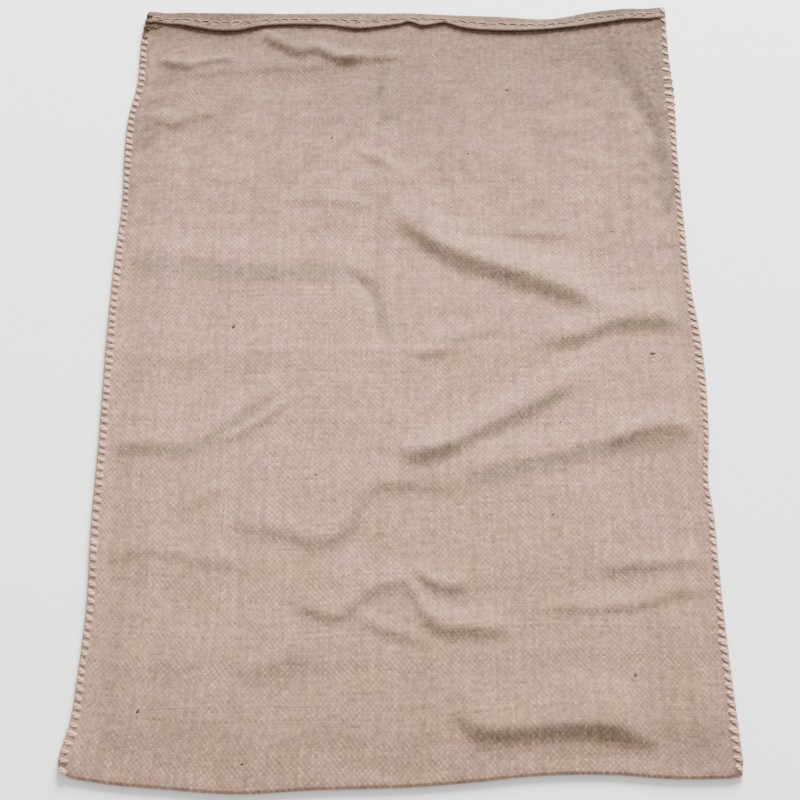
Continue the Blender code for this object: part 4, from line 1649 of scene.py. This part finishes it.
def random_value(tree, low, high, seed, kind="FLOAT"):
    """A random value of its own for every point."""
    node = add_node(tree, "FunctionNodeRandomValue", data_type=kind)
    used = [socket for socket in node.inputs if socket.enabled]
    for socket, value in zip(used, (low, high)):
        if isinstance(value, bpy.types.NodeSocket):
            tree.links.new(value, socket)
        else:
            socket.default_value = value
    tree.links.new(seed, next(socket for socket in node.inputs if socket.name == "Seed"))
    return next(socket for socket in node.outputs if socket.enabled)


def later_seed(tree, given, after):
    """A seed of its own for another random value of the same tree."""
    return calc(tree, "ADD", given["Seed"], after)


def named_value(tree, name):
    """A value that each point carries."""
    return add_node(tree, "GeometryNodeInputNamedAttribute", {"Name": name}).outputs[0]


def random_scale(tree, given):
    return random_value(tree, given["Smallest"], given["Largest"], given["Seed"], "FLOAT_VECTOR")


def finish_tree(tree, given, points, facing, scale):
    """Ends a tree: the piece at each point, with a chance tint, as plain mesh of one material."""
    piece = add_node(tree, "GeometryNodeObjectInfo", {"Object": given["Piece"]}).outputs["Geometry"]
    tint = random_value(tree, 0.0, 1.0, later_seed(tree, given, TINT_SEED))
    tinted = add_node(
        tree, "GeometryNodeStoreNamedAttribute", {"Geometry": points, "Name": TINT, "Value": tint}
    )
    placed = add_node(
        tree,
        "GeometryNodeInstanceOnPoints",
        {"Points": tinted.outputs[0], "Instance": piece, "Rotation": facing, "Scale": scale},
    )
    real = add_node(tree, "GeometryNodeRealizeInstances", {"Geometry": placed.outputs[0]})
    painted = add_node(
        tree, "GeometryNodeSetMaterial", {"Geometry": real.outputs[0], "Material": given["Material"]}
    )
    add_node(tree, "NodeGroupOutput", {"Geometry": painted.outputs[0]})
    return tree


def placing_tree():
    """Puts one piece at each point, turned and sized a little differently each time."""
    tree, given = new_node_group("Pieces at points", "Turn", 0.1)
    least_turn = calc(tree, "MULTIPLY", given["Turn"], -1.0)
    turn = random_value(tree, least_turn, given["Turn"], later_seed(tree, given, TURN_SEED))
    facing = vector(tree, z=calc(tree, "ADD", named_value(tree, HEADING), turn))
    longer = vector(tree, named_value(tree, REACH), 1.0, 1.0)
    scale = moved_by(tree, random_scale(tree, given), longer, "MULTIPLY")
    scale = scaled_vector(tree, scale, named_value(tree, SIZE))
    return finish_tree(tree, given, given["Geometry"], facing, scale)


def strewing_tree():
    """Strews one piece over a surface, turned every way."""
    tree, given = new_node_group("Pieces on a surface", "Density", 1000.0)
    spread = add_node(
        tree,
        "GeometryNodeDistributePointsOnFaces",
        {"Mesh": given["Geometry"], "Density": given["Density"], "Seed": given["Seed"]},
    )
    turn = vector(tree, z=random_value(tree, 0.0, 2.0 * math.pi, later_seed(tree, given, TURN_SEED)))
    facing = add_node(
        tree,
        "FunctionNodeRotateRotation",
        {"Rotation": spread.outputs["Rotation"], "Rotate By": turn},
        rotation_space="LOCAL",
    )
    points = spread.outputs["Points"]
    return finish_tree(tree, given, points, facing.outputs[0], random_scale(tree, given))


def placed_mesh(template, points, tree, **values):
    """The mesh of copies of template that a tree puts on points, with values for its inputs."""
    values["Piece"] = bpy.data.objects.new(template.name, template)
    obj = linked("places", points)
    modifier = obj.modifiers.new(tree.name, "NODES")
    modifier.node_group = tree
    for item in tree.interface.items_tree:
        if item.in_out == "INPUT" and item.name in values:
            modifier[item.identifier] = values[item.name]
    mesh = evaluated_mesh(obj)
    bpy.data.objects.remove(values["Piece"], do_unlink=True)
    return mesh


class SACK_OT_cloth(bpy.types.Operator):
    """Builds the sack's cloth, folded in half and hemmed at the mouth"""

    bl_idname = "sack.cloth"
    bl_label = "Cloth"

    def execute(self, context):
        settings = context.scene.sack_cloth
        surface = linked("sack_cloth_surface", cloth_surface())
        thickness = surface.modifiers.new("Cloth thickness", "SOLIDIFY")
        thickness.thickness = settings.thickness
        thickness.offset = 0.0
        mesh = evaluated_mesh(surface)
        cloth = new_piece("hessian_cloth", mesh, hessian(settings), "hessian", "sack_cloth")
        return {"FINISHED"}


class SACK_OT_side_seams(bpy.types.Operator):
    """Whips both sides of the sack together with thick twine"""

    bl_idname = "sack.side_seams"
    bl_label = "Side seams"

    def execute(self, context):
        settings = context.scene.sack_seam
        material = twine("Jute twine", settings.color, settings.rust_color)
        tree = placing_tree()
        uneven_by = settings.unevenness
        for side, label in ((-1, "left"), (1, "right")):
            mesh = placed_mesh(
                whip_stitch(),
                side_points(side, label, settings),
                tree,
                Turn=WHIP_TURN * uneven_by,
                Smallest=(*(1.0 - smaller * uneven_by for smaller in WHIP_SMALLER), 1.0),
                Largest=(*(1.0 + larger * uneven_by for larger in WHIP_LARGER), 1.0),
                Seed=settings.seed,
                Material=material,
            )
            lift_with_layers(mesh)
            if side < 0:
                mesh = with_loose_ends(mesh)
            new_piece(f"side_stitches_{label}", mesh, material, "jute_twine", f"side_seam_{label}")
        return {"FINISHED"}


def with_loose_ends(mesh):
    """The left seam's mesh with its loose ends added."""
    bm = bmesh.new()
    bm.from_mesh(mesh)
    tint = bm.verts.layers.float.get(TINT)
    stain = bm.verts.layers.float.get(STAIN)
    for end in LOOSE_ENDS:
        count = len(bm.verts)
        thickness = LOOSE_FLATNESS * end.width
        add_twine(bm, twine_rings(loose_path(end), LOOSE_WIDE_WAY, end.width, thickness, TWINE_SIDES))
        bm.verts.ensure_lookup_table()
        for vertex in bm.verts[count:]:
            vertex[tint] = LOOSE_TINT
            vertex[stain] = 1.0
    bm.to_mesh(mesh)
    bm.free()
    return mesh


def loose_path(end):
    """The way of a loose end on the cloth or on its hem, bent smoothly through its places."""
    places = np.array(end.path)
    run = np.linspace(0.0, len(places) - 1.0, 4 * len(places))
    table = np.column_stack([np.arange(len(places)), places])
    path = np.stack([smooth_line(table, run, column) for column in (1, 2, 3)], axis=-1)
    over = place_at(path[:, 0], path[:, 1])
    on_hem = over.from_mouth < hem_depth(over.x)
    path[:, 2] += upper_height(over) + HALF_CLOTH + 2.0 * HALF_CLOTH * on_hem
    return path


class SACK_OT_hem_seam(bpy.types.Operator):
    """Sews the hem down with a chain stitch, on the front and on the back"""

    bl_idname = "sack.hem_seam"
    bl_label = "Hem seam"

    def execute(self, context):
        settings = context.scene.sack_seam
        material = twine("Hem twine", settings.hem_color, settings.rust_color)
        tree = placing_tree()
        bm = bmesh.new()
        for layer in (1.0, -1.0):
            mesh = placed_mesh(
                chain_link(settings, layer),
                chain_points(settings, layer),
                tree,
                Turn=settings.unevenness,
                Smallest=(0.85, 0.65, 0.7),
                Largest=(1.05, 1.25, 1.2),
                Seed=settings.seed + CHAIN_SIZE_SEED,
                Material=material,
            )
            bm.from_mesh(mesh)
        new_piece("hem_stitches", mesh_of(bm, "hem_stitches"), material, "jute_twine")
        return {"FINISHED"}


def chain_points(settings, layer):
    """Where the links of the hem's chain go on one layer, and which way each runs."""
    x = np.arange(*CHAIN_ENDS, settings.chain_pitch)
    rng = np.random.default_rng(settings.seed + CHAIN_SCATTER_SEED)
    x = x + rng.uniform(-CHAIN_SCATTER, CHAIN_SCATTER, len(x))
    depth = np.mean([hem_depth(x + shift) for shift in CHAIN_EVENS_OUT], axis=0)
    share = np.clip(CHAIN_SHARE * depth / hem_depth(x), 0.0, DEEPEST_SHARE)
    left, right = rim(mouth_turn(x))
    points = cloth_points((x - left) / (right - left), 2.0 + share, np.full(len(x), layer))
    points[:, 2] += layer * HALF_CLOTH
    heading = np.arctan2(np.gradient(points[:, 1]), np.gradient(points[:, 0]))
    return points_mesh("places", points, **{HEADING: heading, SIZE: 1.0, REACH: 1.0, STAIN: 0.0})


class SACK_OT_slubs(bpy.types.Operator):
    """Lays the thick, badly spun lengths of yarn into the cloth"""

    bl_idname = "sack.slubs"
    bl_label = "Slubs"

    def execute(self, context):
        bm = bmesh.new()
        for slub in SLUBS:
            add_slub(bm, slub)
        material = scraps("Slub yarn", *SLUB_COLORS)
        new_piece("slubs", finished_mesh(bm, "slubs"), material, "hessian")
        return {"FINISHED"}


def add_slub(bm, slub):
    """One slub as a tapered yarn, half sunk in the cloth."""
    start, end = np.array(slub.start), np.array(slub.end)
    length = np.linalg.norm(end - start)
    count = max(8, int(length / SLUB_STEP))
    share = np.linspace(0.0, 1.0, count)
    way = start + share[:, None] * (end - start)
    square = np.array([start[1] - end[1], end[0] - start[0]]) / length
    own_row = np.full(count, slub.start[0] * 97.0)
    sway = SLUB_SWAY * uneven(share * length / SLUB_SWAY_LENGTH, own_row, SLUB_SWAY_SEED)
    way = way + sway[:, None] * square
    taper = np.sin(math.pi * np.clip(share, SLUB_TIP_SHARE, 1.0 - SLUB_TIP_SHARE)) ** SLUB_TAPER
    own_row = np.full(count, slub.start[1] * 61.0)
    bulge = uneven(share * length / SLUB_BULGE_LENGTH, own_row, SLUB_BULGE_SEED)
    width = slub.width * taper * (SLUB_USUAL + SLUB_BULGE * bulge)
    path = upper_top(way[:, 0], way[:, 1])
    path[:, 2] -= SLUB_SINK * (1.0 - taper)
    thickness = SLUB_THINNEST + SLUB_FLATNESS * width
    add_twine(bm, twine_rings(path, (*square, 0.0), width, thickness, TWINE_SIDES))


class SACK_OT_flecks(bpy.types.Operator):
    """Scatters dark scraps of bark over the cloth"""

    bl_idname = "sack.flecks"
    bl_label = "Flecks"

    def execute(self, context):
        rng = np.random.default_rng(FLECK_SEED)
        x, y, length, turn = np.array(FLECKS).T
        x = np.concatenate([x, rng.uniform(*FLECK_X, SMALL_FLECKS)])
        y = np.concatenate([y, rng.uniform(*FLECK_Y, SMALL_FLECKS)])
        size = LARGE_FLECK_SCALE * (length / MILLIMETRE)
        size = np.concatenate([size, rng.uniform(*FLECK_SIZE, SMALL_FLECKS)])
        heading = np.concatenate([np.radians(turn), rng.uniform(0.0, math.pi, SMALL_FLECKS)])
        places = points_mesh("places", upper_top(x, y), **{HEADING: heading, SIZE: size, REACH: 1.0})
        material = scraps("Bark", *BARK_COLORS)
        mesh = placed_mesh(
            fleck(),
            places,
            placing_tree(),
            Turn=0.1,
            Smallest=(0.9, 0.8, 0.7),
            Largest=(1.1, 1.3, 1.0),
            Seed=FLECK_SEED + 1,
            Material=material,
        )
        new_piece("flecks", mesh, material, "hessian")
        return {"FINISHED"}


class SACK_OT_fibres(bpy.types.Operator):
    """Strews fine loose fibres over the cloth"""

    bl_idname = "sack.fibres"
    bl_label = "Loose fibres"

    def execute(self, context):
        material = scraps("Loose fibre", *FIBRE_COLORS)
        mesh = placed_mesh(
            fibre(),
            upper_sheet(),
            strewing_tree(),
            Density=FIBRE_DENSITY,
            Smallest=(0.45, 0.3, 0.2),
            Largest=(1.15, 1.5, 1.3),
            Seed=FIBRE_SEED,
            Material=material,
        )
        new_piece("loose_fibres", mesh, material, "hessian")
        return {"FINISHED"}


class SACK_OT_stage(bpy.types.Operator):
    """Lays the floor and sets up the light and the camera"""

    bl_idname = "sack.stage"
    bl_label = "Stage"

    def execute(self, context):
        settings = context.scene.sack_stage
        add_floor(settings)
        add_light(settings)
        add_camera()
        return {"FINISHED"}


FLOOR_SIZE = 4.0
FLOOR_DROP = 0.0002


def add_floor(settings):
    bm = bmesh.new()
    bmesh.ops.create_grid(bm, x_segments=1, y_segments=1, size=FLOOR_SIZE)
    floor = linked("floor", mesh_of(bm, "floor"))
    floor.location.z = -FLOOR_DROP
    material, _, shader = new_material("Floor", FLOOR_FINISH)
    shader.inputs["Base Color"].default_value = rgba(settings.floor_color)
    floor.data.materials.append(material)


LIGHT_PLACE = Vector((1.0, 3.8, 2.2))
LIGHT_SIZE = 2.2


def add_light(settings):
    lamp = bpy.data.lights.new("large soft light", "AREA")
    lamp.shape = "SQUARE"
    lamp.size = LIGHT_SIZE
    lamp.energy = settings.light_power
    light = linked("large soft light", lamp)
    light.location = LIGHT_PLACE
    light.rotation_euler = (-LIGHT_PLACE).to_track_quat("-Z", "Y").to_euler()
    world = bpy.data.worlds.new("even light")
    world.use_nodes = True
    background = world.node_tree.nodes["Background"]
    background.inputs["Color"].default_value = (1.0, 1.0, 1.0, 1.0)
    background.inputs["Strength"].default_value = settings.sky_strength
    bpy.context.scene.world = world


# The camera looks at the sack from beyond its foot.
CAMERA_DISTANCE = 1.718
CAMERA_ELEVATION = math.radians(60.44)
CAMERA_TURN = math.radians(0.246)
CAMERA_ROLL = math.radians(-0.569)
CAMERA_TARGET = Vector((-0.0002, -0.0559, 0.0))
CAMERA_LENS = 77.27
CAMERA_SENSOR = 36.0


def add_camera():
    level = math.cos(CAMERA_ELEVATION)
    back = Vector(
        (math.sin(CAMERA_TURN) * level, -math.cos(CAMERA_TURN) * level, math.sin(CAMERA_ELEVATION))
    )
    lens = bpy.data.cameras.new("camera")
    lens.lens = CAMERA_LENS
    lens.sensor_width = CAMERA_SENSOR
    camera = linked("camera", lens)
    turn = back.to_track_quat("Z", "Y").to_matrix().to_4x4() @ Matrix.Rotation(CAMERA_ROLL, 4, "Z")
    camera.matrix_world = Matrix.Translation(CAMERA_TARGET + CAMERA_DISTANCE * back) @ turn
    bpy.context.scene.camera = camera


class SACK_PT_panel(bpy.types.Panel):
    """Lists the steps that build the sack"""

    bl_idname = "SACK_PT_panel"
    bl_label = "Jute sack"
    bl_space_type = "VIEW_3D"
    bl_region_type = "UI"
    bl_category = "Jute sack"

    def draw(self, context):
        for operator in OPERATORS:
            self.layout.operator(operator.bl_idname)


OPERATORS = (
    SACK_OT_cloth,
    SACK_OT_side_seams,
    SACK_OT_hem_seam,
    SACK_OT_slubs,
    SACK_OT_flecks,
    SACK_OT_fibres,
    SACK_OT_stage,
)
SETTINGS = {"sack_cloth": ClothSettings, "sack_seam": SeamSettings, "sack_stage": StageSettings}


def register():
    for cls in (*SETTINGS.values(), *OPERATORS, SACK_PT_panel):
        bpy.utils.register_class(cls)
    for name, group in SETTINGS.items():
        setattr(bpy.types.Scene, name, bpy.props.PointerProperty(type=group))


def unregister():
    for name in SETTINGS:
        delattr(bpy.types.Scene, name)
    for cls in (SACK_PT_panel, *reversed(OPERATORS), *reversed(SETTINGS.values())):
        bpy.utils.unregister_class(cls)


def main():
    register()
    bpy.ops.sack.cloth()
    bpy.ops.sack.side_seams()
    bpy.ops.sack.hem_seam()
    bpy.ops.sack.slubs()
    bpy.ops.sack.flecks()
    bpy.ops.sack.fibres()
    bpy.ops.sack.stage()


if __name__ == "__main__":
    main()
